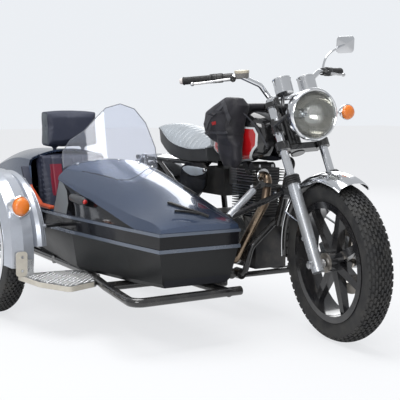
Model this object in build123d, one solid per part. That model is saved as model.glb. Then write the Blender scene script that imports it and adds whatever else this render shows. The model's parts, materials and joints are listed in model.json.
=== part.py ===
from build123d import *
import math
import os

# Sidecar outfit: single-cylinder roadster with a boat-like sidecar on its right.
# Drawing frame: x forward from the rear axle, y left of the bike's centre plane,
# z up from the ground, in mm. Everything is shifted by ORIGIN when it is written.
ORIGIN = (513.5, -331.0, 0.0)

MIN3 = (Align.CENTER, Align.CENTER, Align.MIN)

# wheels: axle place, tyre radius, tyre width, bead radius
WHEELBASE = 1400.0
FRONT = dict(x=WHEELBASE, y=0.0, r=325.0, w=110.0, bead=236.0)
REAR = dict(x=0.0, y=0.0, r=320.0, w=112.0, bead=236.0)
SIDE = dict(x=200.0, y=-985.0, r=296.0, w=92.0, bead=208.0)
SPOKES = 7
WIRES = 20
AXLE_R = 8.0
RUN = 0.06          # radial clearance of a turning fit
LIE = 0.3           # gap between faces that only lie together

# steering
RAKE = math.radians(27.5)
TRAIL = 110.0
STEER_REST = -8.7   # degrees, parked with the bars a little to the right
KX, KZ = -math.sin(RAKE), math.cos(RAKE)
EX, EZ = math.cos(RAKE), math.sin(RAKE)
STEM_OFF = -(FRONT["r"] * math.tan(RAKE) - TRAIL) * math.cos(RAKE)
STEER_AXIS = Axis((WHEELBASE + TRAIL, 0, 0), (KX, 0, KZ))
LEG_Y = 95.0
LEG_R = 17.5
SLIDER_R = 25.0
SLIDER_TOP = 344.0
DISC_R = 140.0
YOKE_LOW = 492.0
YOKE_TOP = 684.0
STEM_R = 14.0
HEAD_LOW, HEAD_TOP = YOKE_LOW + 35.0, YOKE_TOP - 1.0
FRAME_FRONT = WHEELBASE - 358.0  # x of the bend in the front downtube

# sidecar hull levels and walls
HULL_FLOOR = 228.0
BELT_LOW = 392.0
BELT_UP = 460.0
NOSE_LOW, NOSE_BELT = 1186.0, 1236.0
TAIL_LOW, TAIL_BELT = -560.0, -690.0
WALL = 9.0
CHASSIS_R = 18.0
CHASSIS_Z = HULL_FLOOR - CHASSIS_R - LIE

parts = {}


def fork_point(s, y=0.0, off=0.0):
    # s runs up the fork leg from the front axle, off is forward of the leg
    return (WHEELBASE + off * EX + s * KX, y, FRONT["r"] + off * EZ + s * KZ)


def rod(a, b, r):
    a, b = Vector(*a), Vector(*b)
    d = b - a
    return Plane(origin=a, z_dir=d.normalized()) * Cylinder(r, d.length, align=MIN3)


def pipe(points, r, bend):
    path = FilletPolyline(*points, radius=bend)
    return sweep(Plane(origin=path @ 0, z_dir=path % 0) * Circle(r), path=path)


def chain_of_rods(points, r):
    # straight tubes end to end, each running a little into the next
    return sum_of(rod(a, b, r) for a, b in zip(points, points[1:]))


def sum_of(shapes):
    whole = None
    for one in shapes:
        whole = one if whole is None else whole + one
    return whole


def mirrored(shape):
    return mirror(shape, about=Plane.XZ)


def pair(shape):
    return shape + mirrored(shape)


def block(x0, x1, y0, y1, z0, z1):
    return Pos((x0 + x1) / 2, (y0 + y1) / 2, (z0 + z1) / 2) * Box(
        abs(x1 - x0), abs(y1 - y0), abs(z1 - z0)
    )


def barrel(x, y0, y1, z, r):
    return rod((x, y0, z), (x, y1, z), r)


def side_plate(points, y0, y1):
    # outline in x and z, as thick as y0 to y1
    face = make_face(Polyline(*[(x, y0, z) for x, z in points], close=True))
    return extrude(face, y1 - y0, dir=(0, 1, 0))


def plan_plate(points, z0, z1):
    # outline in x and y, as thick as z0 to z1
    face = make_face(Polyline(*[(x, y, z0) for x, y in points], close=True))
    return extrude(face, z1 - z0, dir=(0, 0, 1))


def ring_of(points, w):
    # section in radius and width, turned about the wheel's axle
    return Pos(w["x"], w["y"], w["r"]) * revolve(
        make_face(Polyline(*points, close=True)), Axis.Y
    )


def save(name, shape, steered=False):
    if steered:
        shape = shape.rotate(STEER_AXIS, STEER_REST)
    parts[name] = shape.moved(Location((-ORIGIN[0], -ORIGIN[1], -ORIGIN[2])))


SEAT_SHARE = 0.80    # bead seat against the tyre width
TYRE = [
    # share of the height over the bead, share of the half width
    (0.12, SEAT_SHARE), (0.45, 1.0), (0.80, 0.92), (0.95, 0.60), (1.0, 0.135),
]


def tyre(w):
    # flat bead seat, bulged walls, round crown
    bead, half = w["bead"], w["w"] / 2
    height = w["r"] - bead
    wall = [(bead + up * height, out * half) for up, out in TYRE]
    seat = SEAT_SHARE * half
    left = [(bead, seat)] + wall
    right = [(r, -y) for r, y in reversed(left)]
    return ring_of(left + right, w)


def rim(w, depth):
    bead, seat = w["bead"] - LIE, SEAT_SHARE * w["w"] / 2 + LIE
    return ring_of(
        [
            (bead - depth, -seat - 5), (bead + 8, -seat - 5), (bead + 8, -seat),
            (bead, -seat), (bead, seat), (bead + 8, seat),
            (bead + 8, seat + 5), (bead - depth, seat + 5),
        ],
        w,
    )


def cast_wheel(w, hub_r, hub_half):
    wheel = rim(w, 18)
    wheel += Pos(w["x"], w["y"], w["r"]) * (
        Rot(90, 0, 0) * Cylinder(hub_r, 2 * hub_half)
    )
    spoke = loft(
        [
            Pos(0, 0, hub_r - 12) * Rectangle(40, 38),
            Pos(0, 0, w["bead"] - 12) * Rectangle(27, 26),
        ]
    )
    for i in range(SPOKES):
        turn = Rot(0, 360 / SPOKES * i + 12, 0)
        wheel += Pos(w["x"], w["y"], w["r"]) * turn * spoke
    return wheel


def bore(wheel, w, r):
    return wheel - barrel(w["x"], w["y"] - 150, w["y"] + 150, w["r"], r)


# front wheel: tyre, cast wheel with the brake disc on its left
save("front_tyre", tyre(FRONT), True)
front_wheel = cast_wheel(FRONT, 40, 58)
front_wheel += barrel(WHEELBASE, 50, 55, FRONT["r"], DISC_R)
front_wheel -= barrel(WHEELBASE, 49, 56, FRONT["r"], 96) - barrel(
    WHEELBASE, 48, 57, FRONT["r"], 41
)
for i in range(5):
    arm = Pos(70, 0, 0) * Box(72, 5, 20)
    front_wheel += Pos(WHEELBASE, 52.5, FRONT["r"]) * Rot(0, 72 * i, 0) * arm
save("front_wheel", bore(front_wheel, FRONT, AXLE_R + RUN), True)

# fork: sliders with the axle, the mudguard lugs and the caliper
axle_z = FRONT["r"]
fork = rod(fork_point(-34, LEG_Y), fork_point(SLIDER_TOP, LEG_Y), SLIDER_R)
fork += rod(fork_point(120, LEG_Y, 14), fork_point(120, LEG_Y, -38), 12)
fork = pair(fork)
fork += barrel(WHEELBASE, -LEG_Y - 34, LEG_Y + 34, axle_z, AXLE_R)
fork += pair(barrel(WHEELBASE, LEG_Y + 20, LEG_Y + 30, axle_z, 15))
fork += pair(barrel(WHEELBASE, 62, LEG_Y, axle_z, 17))
caliper_at = Plane(origin=(WHEELBASE, 0, axle_z), x_dir=(EX, 0, EZ), z_dir=(KX, 0, KZ))
caliper = Pos(-118, 62, 76) * Box(72, 52, 92)
caliper += Pos(-62, LEG_Y - 8, 76) * Box(90, 12, 60)
fork += Location(caliper_at) * caliper
fork -= barrel(WHEELBASE, 44, 61, axle_z, DISC_R + 6) - barrel(WHEELBASE, 40, 66, axle_z, 60)
save("fork_sliders", fork, True)

# stanchions with their rubber boots
legs = pair(
    rod(fork_point(SLIDER_TOP + LIE, LEG_Y), fork_point(YOKE_TOP + 30, LEG_Y), LEG_R)
    + rod(fork_point(SLIDER_TOP + LIE, LEG_Y), fork_point(SLIDER_TOP + 36, LEG_Y), 29)
)
save("fork_stanchions", legs, True)

# headlamp: chrome bowl, ring and glass
LAMP = fork_point(596, 0, 114)
LAMP_R = 108.0      # outside of the ring
GLASS_R = LAMP_R - 10
LAMP_DEPTH = 116.0
BOWL = [
    # height over the back, radius
    (0, 0), (0, 42), (34, 89), (70, LAMP_R - 7), (LAMP_DEPTH - 12, LAMP_R - 7),
    (LAMP_DEPTH - 10, LAMP_R), (LAMP_DEPTH + 6, LAMP_R), (LAMP_DEPTH + 10, GLASS_R + LIE),
    (LAMP_DEPTH, GLASS_R + LIE), (LAMP_DEPTH, 0),
]
lamp_back = Plane(origin=(LAMP[0] - 78, 0, LAMP[2]), x_dir=(0, 1, 0), z_dir=(1, 0, 0))
bowl = lamp_back * revolve(
    make_face(Polyline(*[(r, 0, up) for up, r in BOWL], close=True)), Axis.Z
)
save("headlamp_shell", bowl, True)
glass = lamp_back * Pos(0, 0, LAMP_DEPTH + LIE) * Cylinder(GLASS_R, 14, align=MIN3)
save("headlamp_glass", glass, True)

# line of the handlebar, from the right end to the left
BAR_R = 11.0
bar_mid = fork_point(YOKE_TOP + 58, 0, -30)
BAR_HALF = [
    (bar_mid[0] - 168, 386, bar_mid[2] + 93), (bar_mid[0] - 28, 190, bar_mid[2] + 102),
    (bar_mid[0] + 5, 118, bar_mid[2] + 61), (bar_mid[0], 70, bar_mid[2]),
]
BAR_POINTS = [(x, -y, z) for x, y, z in BAR_HALF] + BAR_HALF[::-1]


def yoke(s, thick, plate_r):
    ears = pair(rod(fork_point(s, LEG_Y), fork_point(s + thick, LEG_Y), plate_r))
    mid = rod(fork_point(s, 0, STEM_OFF), fork_point(s + thick, 0, STEM_OFF), 30)
    hull = Location(Plane(origin=fork_point(s), x_dir=(EX, 0, EZ), z_dir=(KX, 0, KZ)))
    web = hull * (Pos(STEM_OFF / 2, 0, thick / 2) * Box(46, 2 * LEG_Y, thick * 0.8))
    return ears + mid + web


yokes = yoke(YOKE_LOW, 34, 29) + yoke(YOKE_TOP, 22, 27)
yokes += rod(fork_point(YOKE_LOW + 5, 0, STEM_OFF), fork_point(YOKE_TOP + 5, 0, STEM_OFF), STEM_R)
yokes -= pair(
    rod(fork_point(YOKE_LOW - 9, LEG_Y), fork_point(YOKE_TOP + 60, LEG_Y), LEG_R + LIE)
)
for y in (-45, 45):
    yokes += rod(fork_point(YOKE_TOP + 8, y, -30), fork_point(YOKE_TOP + 58, y, -30), 15)
# headlamp ears between the yokes
ear = rod(fork_point(565, 118, 20), fork_point(625, 118, 20), 9)
ear += rod(fork_point(595, LEG_Y, 0), fork_point(595, 118, 20), 9)
ear += rod(fork_point(595, 118, 20), (LAMP[0] - 12, 98, LAMP[2]), 9)
ear += rod(fork_point(570, LEG_Y), fork_point(620, LEG_Y), 23)
yokes += pair(ear)
yokes -= pipe(BAR_POINTS, BAR_R + LIE, 32)
yokes -= bowl
yokes -= pair(
    rod(fork_point(YOKE_LOW - 9, LEG_Y), fork_point(YOKE_TOP + 60, LEG_Y), LEG_R + LIE)
)
save("fork_yokes", yokes, True)

# front mudguard with its loop stays
GUARD_R = FRONT["r"] + 27.0
GUARD_FRONT, GUARD_BACK = 65.0, 184.0  # degrees above the ground line ahead
GUARD = [
    # radius over GUARD_R, half width
    (-26, 66), (-22, 68), (2, 40), (9, 12),
]


def guard_shell(radius, rows, thick):
    outer = [(radius + up, y) for up, y in rows] + [(radius + up, -y) for up, y in rows[::-1]]
    inner = [(radius + up - thick, 0.96 * y) for up, y in rows]
    inner += [(radius + up - thick, -0.96 * y) for up, y in rows[::-1]]
    return outer + inner[::-1]


def sector(w, first, last, y0, y1, reach=900.0):
    # wedge of the side view between two angles at a wheel's axle
    steps = max(1, math.ceil((last - first) / 60))
    rays = [math.radians(first + (last - first) * i / steps) for i in range(steps + 1)]
    rim_points = [(w["x"] + reach * math.cos(a), w["r"] + reach * math.sin(a)) for a in rays]
    return side_plate([(w["x"], w["r"])] + rim_points, y0, y1)


guard = ring_of(guard_shell(GUARD_R, GUARD, 4), FRONT)
guard &= sector(FRONT, GUARD_FRONT, GUARD_BACK, -90, 90)
guard += pair(rod(fork_point(132, 69.9), fork_point(330, 64), 4.6))
guard += pair(rod(fork_point(120, LEG_Y - SLIDER_R - 0.2), fork_point(170, 69.0), 5))
guard -= pair(
    rod(fork_point(-40, LEG_Y), fork_point(SLIDER_TOP, LEG_Y), SLIDER_R + LIE)
    + rod(fork_point(120, LEG_Y, 24), fork_point(120, LEG_Y, -48), 12 + LIE)
)
save("front_mudguard", guard, True)

# two instruments on a bracket over the top yoke
clocks = None
for y in (-58, 58):
    top = (bar_mid[0] + 81, y, bar_mid[2] + 78)
    low = (bar_mid[0] + 105, y, bar_mid[2] + 22)
    can = rod(low, top, 38)
    post = rod(fork_point(YOKE_TOP + 12, y * 0.55, -14), (bar_mid[0] + 91, y, bar_mid[2] + 46), 8)
    clocks = can + post if clocks is None else clocks + can + post
save("instruments", clocks - yokes, True)

# handlebar
bar = pipe(BAR_POINTS, BAR_R, 32)
save("handlebar", bar, True)

# grips, levers, brake reservoir, mirror on the left perch


def along(t, side=1.0):
    # point on the straight outer part of the bar, t from the end inwards
    a = Vector(*BAR_POINTS[0])
    d = (Vector(*BAR_POINTS[1]) - a).normalized()
    p = a + d * t
    return (p.X, p.Y * side, p.Z)


GRIP_END, SWITCH_END, PERCH = 118.0, 166.0, 194.0
controls = rod(along(-6), along(GRIP_END), 16) + rod(along(GRIP_END), along(SWITCH_END), 19)
controls += rod(along(SWITCH_END), along(PERCH + 14), 15)
perch = (along(PERCH)[0] + 36, along(PERCH)[1] - 4, along(PERCH)[2] - 8)
lever_tip = (along(8)[0] + 46, along(8)[1] + 6, along(8)[2] - 14)
controls += rod(along(PERCH), perch, 9) + rod(perch, lever_tip, 5.5)
controls += Pos(*lever_tip) * Sphere(9)
controls = pair(controls)
# brake reservoir on the right perch
POT_R = 30.0
pot = (perch[0] + 18, perch[1] + 34, perch[2] + 2)
controls += Pos(*pot) * Cylinder(POT_R, 34, align=MIN3)
controls += rod(perch, (pot[0], pot[1], pot[2] + 12), 11)
# mirror on a bent stalk from the left perch
stem = along(PERCH, -1.0)
MIRROR = (stem[0] - 18, stem[1] + 132, stem[2] + 112)
controls += pipe(
    [stem, (stem[0] + 4, stem[1] + 6, stem[2] + 48), (MIRROR[0] + 12, MIRROR[1] - 12, MIRROR[2])],
    5,
    25,
)
controls += Pos(*MIRROR) * (Rot(0, 8, 4) * Box(16, 96, 76))
controls -= pipe(BAR_POINTS, BAR_R + RUN, 32)
save("handlebar_controls", controls, True)

# round amber indicator beside the headlamp, on the left; the right one is missing
INDICATOR_R = 33.0
lens = (LAMP[0] - 40, 204, LAMP[2] - 6)
indicator = rod((lens[0] - 28, lens[1], lens[2]), (lens[0] + 30, lens[1], lens[2]), INDICATOR_R)
indicator += barrel(lens[0], 104, lens[1], lens[2], 6)
save("front_indicator", indicator - yokes, True)

# rear wheel with the sprocket on its left
save("rear_tyre", tyre(REAR))
CHAIN_Y = 80.0
SPROCKET_R = 86.0
rear_wheel = cast_wheel(REAR, 66, 50)
rear_wheel += barrel(0, 49, CHAIN_Y - 4, REAR["r"], 52)
rear_wheel += barrel(0, CHAIN_Y - 4, CHAIN_Y + 4, REAR["r"], SPROCKET_R)
save("rear_wheel", bore(rear_wheel, REAR, AXLE_R + RUN))

# sidecar wheel: chrome rim, wire spokes, hub
save("sidecar_tyre", tyre(SIDE))
SIDE_AXLE_R = 10.0
wire_wheel = rim(SIDE, 14)
wire_wheel += Pos(SIDE["x"], SIDE["y"], SIDE["r"]) * (Rot(90, 0, 0) * Cylinder(34, 76))
for y in (-32, 32):
    wire_wheel += barrel(SIDE["x"], SIDE["y"] + y - 4, SIDE["y"] + y + 4, SIDE["r"], 56)
for i in range(WIRES):
    side = 32 if i % 2 else -32
    lean = 1.6 if i % 4 < 2 else -1.6
    a0, a1 = 2 * math.pi * i / WIRES, 2 * math.pi * (i + lean) / WIRES
    r0, r1 = 50, SIDE["bead"] - 10
    foot = Vector(r0 * math.cos(a0), side, r0 * math.sin(a0))
    tip = Vector(r1 * math.cos(a1), side * 0.2, r1 * math.sin(a1))
    wire = Plane(origin=foot, z_dir=(tip - foot).normalized()) * Box(
        4, 4, (tip - foot).length, align=MIN3
    )
    wire_wheel += Pos(SIDE["x"], SIDE["y"], SIDE["r"]) * wire
save("sidecar_wheel", bore(wire_wheel, SIDE, SIDE_AXLE_R + RUN))

# main frame: steering head, backbone, downtube, cradle, seat rails
FRAME_R = 14.0
RAIL_Z = 205.0
RAIL_Y = 126.0
SEAT_RAIL_Z = 655.0
SEAT_RAIL_Y = 84.0
TAIL_X = -90.0
ENGINE_FRONT, ENGINE_BACK = 950.0, 500.0
BACKBONE = (fork_point(HEAD_LOW + 45, 0, STEM_OFF - 18), (505, 0, 692))
KNEE = (FRAME_FRONT, 0, 560)
FOOT = (FRAME_FRONT - 46, 0, 425)
frame = rod(fork_point(HEAD_LOW, 0, STEM_OFF), fork_point(HEAD_TOP, 0, STEM_OFF), 27)
frame += rod(*BACKBONE, 20)
frame += rod(fork_point(HEAD_LOW + 18, 0, STEM_OFF), KNEE, 19) + rod(KNEE, FOOT, 19)
frame += Pos(*KNEE) * Sphere(19)
# lug on the downtube for the sidecar's upper front strut
LUG = (FRAME_FRONT - 38, -96, 604)
frame += rod((FRAME_FRONT + 2, 0, 588), LUG, 9)
frame += rod((LUG[0] + 10, LUG[1] - 8, LUG[2]), (LUG[0] - 10, LUG[1] + 8, LUG[2]), 14)
cradle = pipe(
    [
        (FOOT[0] - 4, 8, FOOT[2] + 15), (FRAME_FRONT - 77, 118, 330), (FRAME_FRONT - 112, RAIL_Y, RAIL_Z),
        (470, RAIL_Y, RAIL_Z), (425, 122, 350), (415, 100, 560), (512, 16, 690),
    ],
    FRAME_R,
    45,
)
rails = rod((512, 14, 680), (440, SEAT_RAIL_Y - 4, SEAT_RAIL_Z + 3), 11)
rails += rod((440, SEAT_RAIL_Y - 4, SEAT_RAIL_Z + 3), (TAIL_X, SEAT_RAIL_Y, SEAT_RAIL_Z), 11)
brace = rod((418, 112, 500), (110, SEAT_RAIL_Y, SEAT_RAIL_Z), 10)
mount = rod((95, SEAT_RAIL_Y, SEAT_RAIL_Z), (95, 146, 664), 9)
frame += pair(cradle + rails + brace + mount)
frame += barrel(TAIL_X, -SEAT_RAIL_Y - 11, SEAT_RAIL_Y + 11, SEAT_RAIL_Z, 11)
frame += barrel(430, -122, 122, 340, 12)
frame += barrel(FRAME_FRONT - 112, -RAIL_Y, RAIL_Y, RAIL_Z, 12)
frame += pair(block(ENGINE_FRONT - 70, FRAME_FRONT - 102, 104, 124, 262, 330))
frame += pair(block(ENGINE_BACK - 45, ENGINE_BACK, 104, 130, 240, 300))
frame += pair(barrel(470, 130, 230, RAIL_Z, 13))
frame -= rod(
    fork_point(YOKE_LOW, 0, STEM_OFF), fork_point(YOKE_TOP + 20, 0, STEM_OFF), STEM_R + RUN
)
frame -= rod(
    fork_point(YOKE_LOW - 40, 0, STEM_OFF), fork_point(HEAD_LOW, 0, STEM_OFF), 60
)
save("main_frame", frame)

# engine: crankcase with round covers, finned cylinder, head
CRANK_X, CRANK_Z = 800.0, 350.0
CYL_X = 850.0
case = block(560, ENGINE_FRONT, -82, 82, 228, 452)
case += barrel(CRANK_X, -104, 104, CRANK_Z, 118)
case += barrel(640, -100, 100, 345, 92)
case &= block(ENGINE_BACK, ENGINE_FRONT + 10, -110, 110, 226, 452)
case -= block(540, 622, 64, 120, 270, 420)
case += barrel(560, 40, 76, REAR["r"], 18) + barrel(560, 76, 84, REAR["r"], 33.8)
save("engine_crankcase", case - frame)
FINS = 12
cylinder = block(CYL_X - 62, CYL_X + 62, -62, 62, 452, 600)
for i in range(FINS):
    cylinder += Pos(CYL_X, 0, 462 + i * 11.4) * Box(156, 176, 3.5)
save("engine_cylinder", cylinder)
head = block(CYL_X - 66, CYL_X + 66, -64, 64, 600, 664)
for i in range(5):
    head += Pos(CYL_X, 0, 608 + i * 12) * Box(164, 184, 4)
for x in (-24, 24):
    head += barrel(CYL_X + x, -58, 58, 664, 22)
save("cylinder_head", head)

# intake: carburettor and airbox behind the head
intake = rod((CYL_X - 66 - LIE, 0, 632), (CYL_X - 190, 0, 632), 26)
intake -= Pos(CYL_X, 0, 632) * Box(164 + 2 * LIE, 190, 70)
intake += rod((CYL_X - 82.3, 0, 632), (CYL_X - 190, 0, 632), 26)
intake += Pos(CYL_X - 140, 0, 620) * Box(60, 84, 88)
intake += block(470, CYL_X - 190, -58, 58, 520, 644)
save("carburettor_and_airbox", intake - frame)

# exhaust: header from the head's front round the engine, silencer low on the right
header = [
    (CYL_X + 82.3, -42, 634), (CYL_X + 128, -42, 634), (CYL_X + 138, -66, 520),
    (CYL_X + 108, -118, 400), (CYL_X + 60, -160, 268), (400, -172, 264),
]
exhaust = pipe(header, 19, 34)
exhaust += rod((480, -170, 264.8), (420, -171.6, 264), 24)
exhaust += rod((420, -172, 264), (-180, -188, 280), 43)
exhaust += rod((-180, -188, 280), (-215, -189, 281), 24)
exhaust -= rod((-100, -185.9, 277.9), (-217, -189, 281), 20)
save("exhaust", exhaust - frame)


# tank over the backbone
def tank_face(x, half, low, top, r):
    return Plane(origin=(x, 0, (low + top) / 2), x_dir=(0, 1, 0), z_dir=(1, 0, 0)) * (
        RectangleRounded(2 * half, top - low, r)
    )


TANK = [
    # x, half width, bottom, top, corner radius
    (600, 96, 736, 846, 40),
    (652, 122, 706, 884, 54),
    (730, 140, 692, 914, 66),
    (870, 138, 690, 924, 68),
    (945, 110, 708, 904, 56),
    (990, 62, 760, 868, 38),
]
tank = loft([tank_face(*row) for row in TANK])
TUNNEL = [(480, 600), (1010, 600), (1010, 814), (480, 724)]
tank -= side_plate(TUNNEL, -27, 27)
tank -= block(690, 968, -68, 68, 600, 716)
tank += Pos(800, 0, 900) * Cylinder(34, 34, align=MIN3)
tank += block(900, 940, -20, 20, 776, 850) + block(618, 648, -20, 20, 726, 790)
save("fuel_tank", tank - frame)

# soft bag strapped over the tank's right side
BAG = [
    # z, middle in x, length, side face y, half thickness
    (668, 884, 84, -182, 14),
    (700, 886, 130, -188, 20),
    (765, 875, 160, -198, 26),
    (800, 829, 222, -208, 36),
    (850, 820, 244, -216, 44),
    (900, 836, 240, -214, 46),
    (935, 868, 200, -206, 42),
    (968, 896, 92, -194, 26),
]
bag = loft(
    [
        Plane(origin=(x, y + half, z), z_dir=(0, 0, 1))
        * RectangleRounded(length, 2 * half, half * 0.8)
        for z, x, length, y, half in BAG
    ],
    ruled=True,
)
bag += block(846, 912, -150, 60, 900, 940)
bag -= loft([tank_face(x, half + 1, low - 1, top + 1, r) for x, half, low, top, r in TANK])
bag -= Pos(800, 0, 890) * Cylinder(35, 45, align=MIN3)
save("tank_bag", bag)

# seat: black side band and a crowned top that is narrow and raised at the back
SEAT = [
    # x, half width, bottom, piping, top
    (44, 26, 762, 806, 820),
    (100, 72, 742, 814, 830),
    (180, 104, 722, 806, 836),
    (260, 122, 694, 770, 834),
    (340, 131, 676, 746, 822),
    (430, 132, 669, 732, 802),
    (520, 122, 669, 730, 786),
    (590, 112, 674, 738, 778),
]


def seat_face(x, half, low, piping, top):
    outline = Polyline((-half, piping), (-half + 8, low), (half - 8, low), (half, piping))
    outline += ThreePointArc((half, piping), (0, top), (-half, piping))
    return Plane(origin=(x, 0, 0), x_dir=(0, 1, 0), z_dir=(1, 0, 0)) * make_face(outline)


seat = loft([seat_face(*row) for row in SEAT])
seat -= barrel(0, -86, 86, REAR["r"], REAR["r"] + 36)
seat -= pair(rod((440, SEAT_RAIL_Y - 4, SEAT_RAIL_Z + 3), (TAIL_X, SEAT_RAIL_Y, SEAT_RAIL_Z), 11.5))
save("bike_seat", seat - frame)

# side covers over the airbox and battery
cover = side_plate(
    [(390, 516), (420, 640), (470, 664), (596, 668), (636, 640), (620, 560), (560, 510)], 126, 137
)
cover += block(404, 430, 98, 126, 556, 576)
save("side_covers", pair(cover) - frame)

# swingarm with the rear axle
PIVOT_X, PIVOT_Z = 390.0, 338.0
HUB_Z = REAR["r"]
arm = rod((PIVOT_X, 92, PIVOT_Z), (-6, 112, HUB_Z), 13)
arm += rod((40, 110, HUB_Z + 2), (-30, 113, HUB_Z), 16)
arm += rod((30, 116, HUB_Z + 5), (30, 146, HUB_Z + 25), 9)
swing = pair(arm)
swing += barrel(PIVOT_X, -92, 92, PIVOT_Z, 14)
swing += pair(block(PIVOT_X, 420, 74, 98, PIVOT_Z - 12, PIVOT_Z + 14))
swing += barrel(0, -136, 136, HUB_Z, AXLE_R)
swing += pair(barrel(0, 124, 132, HUB_Z, 14))
swing += barrel(0, -104, -56, HUB_Z, 15)
swing += barrel(0, 90, 104, HUB_Z, 14)
# chain guard
COVER_Z = HUB_Z + 108.0
swing += side_plate([(20, COVER_Z), (430, 400), (430, 406), (20, COVER_Z + 6)], 68, 96)
swing += side_plate([(20, COVER_Z - 38), (360, 376), (430, 406), (20, COVER_Z + 6)], 94, 96)
swing += block(200, 230, 94, 98, HUB_Z + 15, HUB_Z + 75)
save("swingarm", swing - frame)

# rear shock absorbers with their springs
LOW, TOP = Vector(30, 155, HUB_Z + 25), Vector(95, 155, 668)
UP = (TOP - LOW).normalized()
COILS = 12
shock = rod(tuple(LOW), tuple(TOP), 8)
shock += barrel(LOW.X, 147, 163, LOW.Z, 15) + barrel(TOP.X, 147, 163, TOP.Z, 15)
shock += rod(tuple(LOW + (TOP - LOW) * 0.6), tuple(TOP), 21)
for k in range(COILS):
    shock += Plane(origin=LOW + (TOP - LOW) * (0.14 + 0.062 * k), z_dir=UP) * Cylinder(27, 9)
save("rear_shocks", pair(shock) - frame - swing)

# rear mudguard and tail lamp with the plate
REAR_GUARD_R = REAR["r"] + 22.0
REAR_GUARD = [
    # radius over REAR_GUARD_R, half width
    (-10, 72), (6, 66), (12, 16),
]
back = ring_of(guard_shell(REAR_GUARD_R, REAR_GUARD, 4), REAR)
back &= sector(REAR, 48, 168, -90, 90)
back += pair(rod((-60, 58, HUB_Z + 338), (-60, SEAT_RAIL_Y, SEAT_RAIL_Z), 7))
save("rear_mudguard", back - frame)
tail = block(-385, -270, -48, 48, 525, 595)
tail += Pos(-388, 0, 500) * (Rot(0, 14, 0) * Box(4, 230, 180))
tail += rod((-372, -128, 600), (-372, 128, 600), 6)
for side in (-1, 1):
    tail += rod((-398, side * 128, 600), (-338, side * 128, 600), 30)
tail -= barrel(0, -100, 100, HUB_Z, REAR_GUARD_R + 12 + LIE)
save("tail_lamp", tail)

# drive chain as one loop round both sprockets
CHAIN_GAP = 560.0   # rear axle to output shaft
CHAIN_R0, CHAIN_R1 = SPROCKET_R + 14, 46.0


def chain_loop(inset, y0, y1):
    r0, r1 = CHAIN_R0 - inset, CHAIN_R1 - inset
    tilt = math.asin((r0 - r1) / CHAIN_GAP)
    a = (r0 * math.sin(tilt), r0 * math.cos(tilt))
    b = (CHAIN_GAP + r1 * math.sin(tilt), r1 * math.cos(tilt))
    outline = Line(a, b)
    outline += ThreePointArc(b, (CHAIN_GAP + r1, 0), (b[0], -b[1]))
    outline += Line((b[0], -b[1]), (a[0], -a[1]))
    outline += ThreePointArc((a[0], -a[1]), (-r0, 0), a)
    face = Plane(origin=(0, y0, REAR["r"]), x_dir=(1, 0, 0), z_dir=(0, -1, 0)) * make_face(outline)
    return extrude(face, y1 - y0, dir=(0, 1, 0))


chain = chain_loop(0, CHAIN_Y - 7, CHAIN_Y + 7) - chain_loop(12, CHAIN_Y - 8, CHAIN_Y + 8)
save("drive_chain", chain)

# sidecar hull: rows from nose to tail, both walls at the floor and at the belts
TUB = [
    # x, floor z, inner y low, outer y low, inner y belt, outer y belt
    (NOSE_BELT + 4, HULL_FLOOR + 16, -388, -690, -374, -733),
    (1000, HULL_FLOOR + 8, -368, -722, -350, -754),
    (580, HULL_FLOOR, -360, -757, -330, -783),
    (200, HULL_FLOOR, -362, -700, -326, -792),
    (-250, HULL_FLOOR, -372, -650, -330, -776),
    (-700, HULL_FLOOR, -392, -600, -352, -716),
]
BELT_Y = [(x, inner, outer) for x, _, _, _, inner, outer in TUB]


def tub_solid(inset, top):
    def section(x, floor, il, ol, ib, ob):
        low = floor + inset
        outline = [
            (il - inset - 14, low), (ol + inset + 14, low), (ol + inset, low + 16),
            (ob + inset, BELT_LOW), (ob + inset, top), (ib - inset, top),
            (ib - inset, BELT_LOW), (il - inset, low + 16),
        ]
        return make_face(Polyline(*[(x, y, z) for y, z in outline], close=True))

    solid = loft([section(*row) for row in TUB], ruled=True)
    d = inset * 1.05
    ends = side_plate(
        [
            (NOSE_LOW - d, HULL_FLOOR - 1), (NOSE_BELT - d, BELT_LOW), (NOSE_BELT - d, top + 5),
            (TAIL_BELT + d, top + 5), (TAIL_BELT + d, BELT_LOW), (TAIL_LOW + d, HULL_FLOOR - 1),
        ],
        -900,
        -200,
    )
    return solid & ends


tub = tub_solid(0, BELT_UP) - tub_solid(WALL, BELT_UP + 30)
save("sidecar_tub", tub)

# upper hull: one crowned form from nose to tail, cut into cowl and tail
UPPER = [
    # x, inner y, outer y, inner shoulder z, outer shoulder z, crown z
    (NOSE_BELT, -374, -733, 478, 474, 486),
    (1196, -372, -734, 492, 488, 508),
    (1060, -354, -748, 526, 505, 552),
    (850, -342, -764, 584, 535, 612),
    (560, -332, -782, 650, 585, 676),
    (384, -330, -786, 668, 615, 708),
    (100, -328, -788, 674, 664, 716),
    (-150, -330, -778, 662, 662, 706),
    (-500, -344, -744, 594, 594, 626),
    (TAIL_BELT, -354, -716, 490, 490, 502),
]
SHOULDER_IN = 34.0


def upper_solid(inset, low):
    def section(x, yi, yo, zi, zo, zc):
        yi, yo = yi - inset, yo + inset
        k = min(1.0, (zi - BELT_UP) / 150.0)
        a = (x, yi - SHOULDER_IN * k, zi - inset)
        b = (x, yo + SHOULDER_IN * k, zo - inset)
        c = (x, (yi + yo) / 2, zc - inset)
        outline = Polyline(b, (x, yo, low), (x, yi, low), a) + ThreePointArc(a, c, b)
        return make_face(outline)

    solid = loft([section(*row) for row in UPPER])
    return solid & block(TAIL_BELT + inset, NOSE_BELT - inset, -900, -200, low, 900)


UPPER_LOW = BELT_UP + LIE
shell = upper_solid(0, UPPER_LOW) - upper_solid(WALL, UPPER_LOW - 20)
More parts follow.
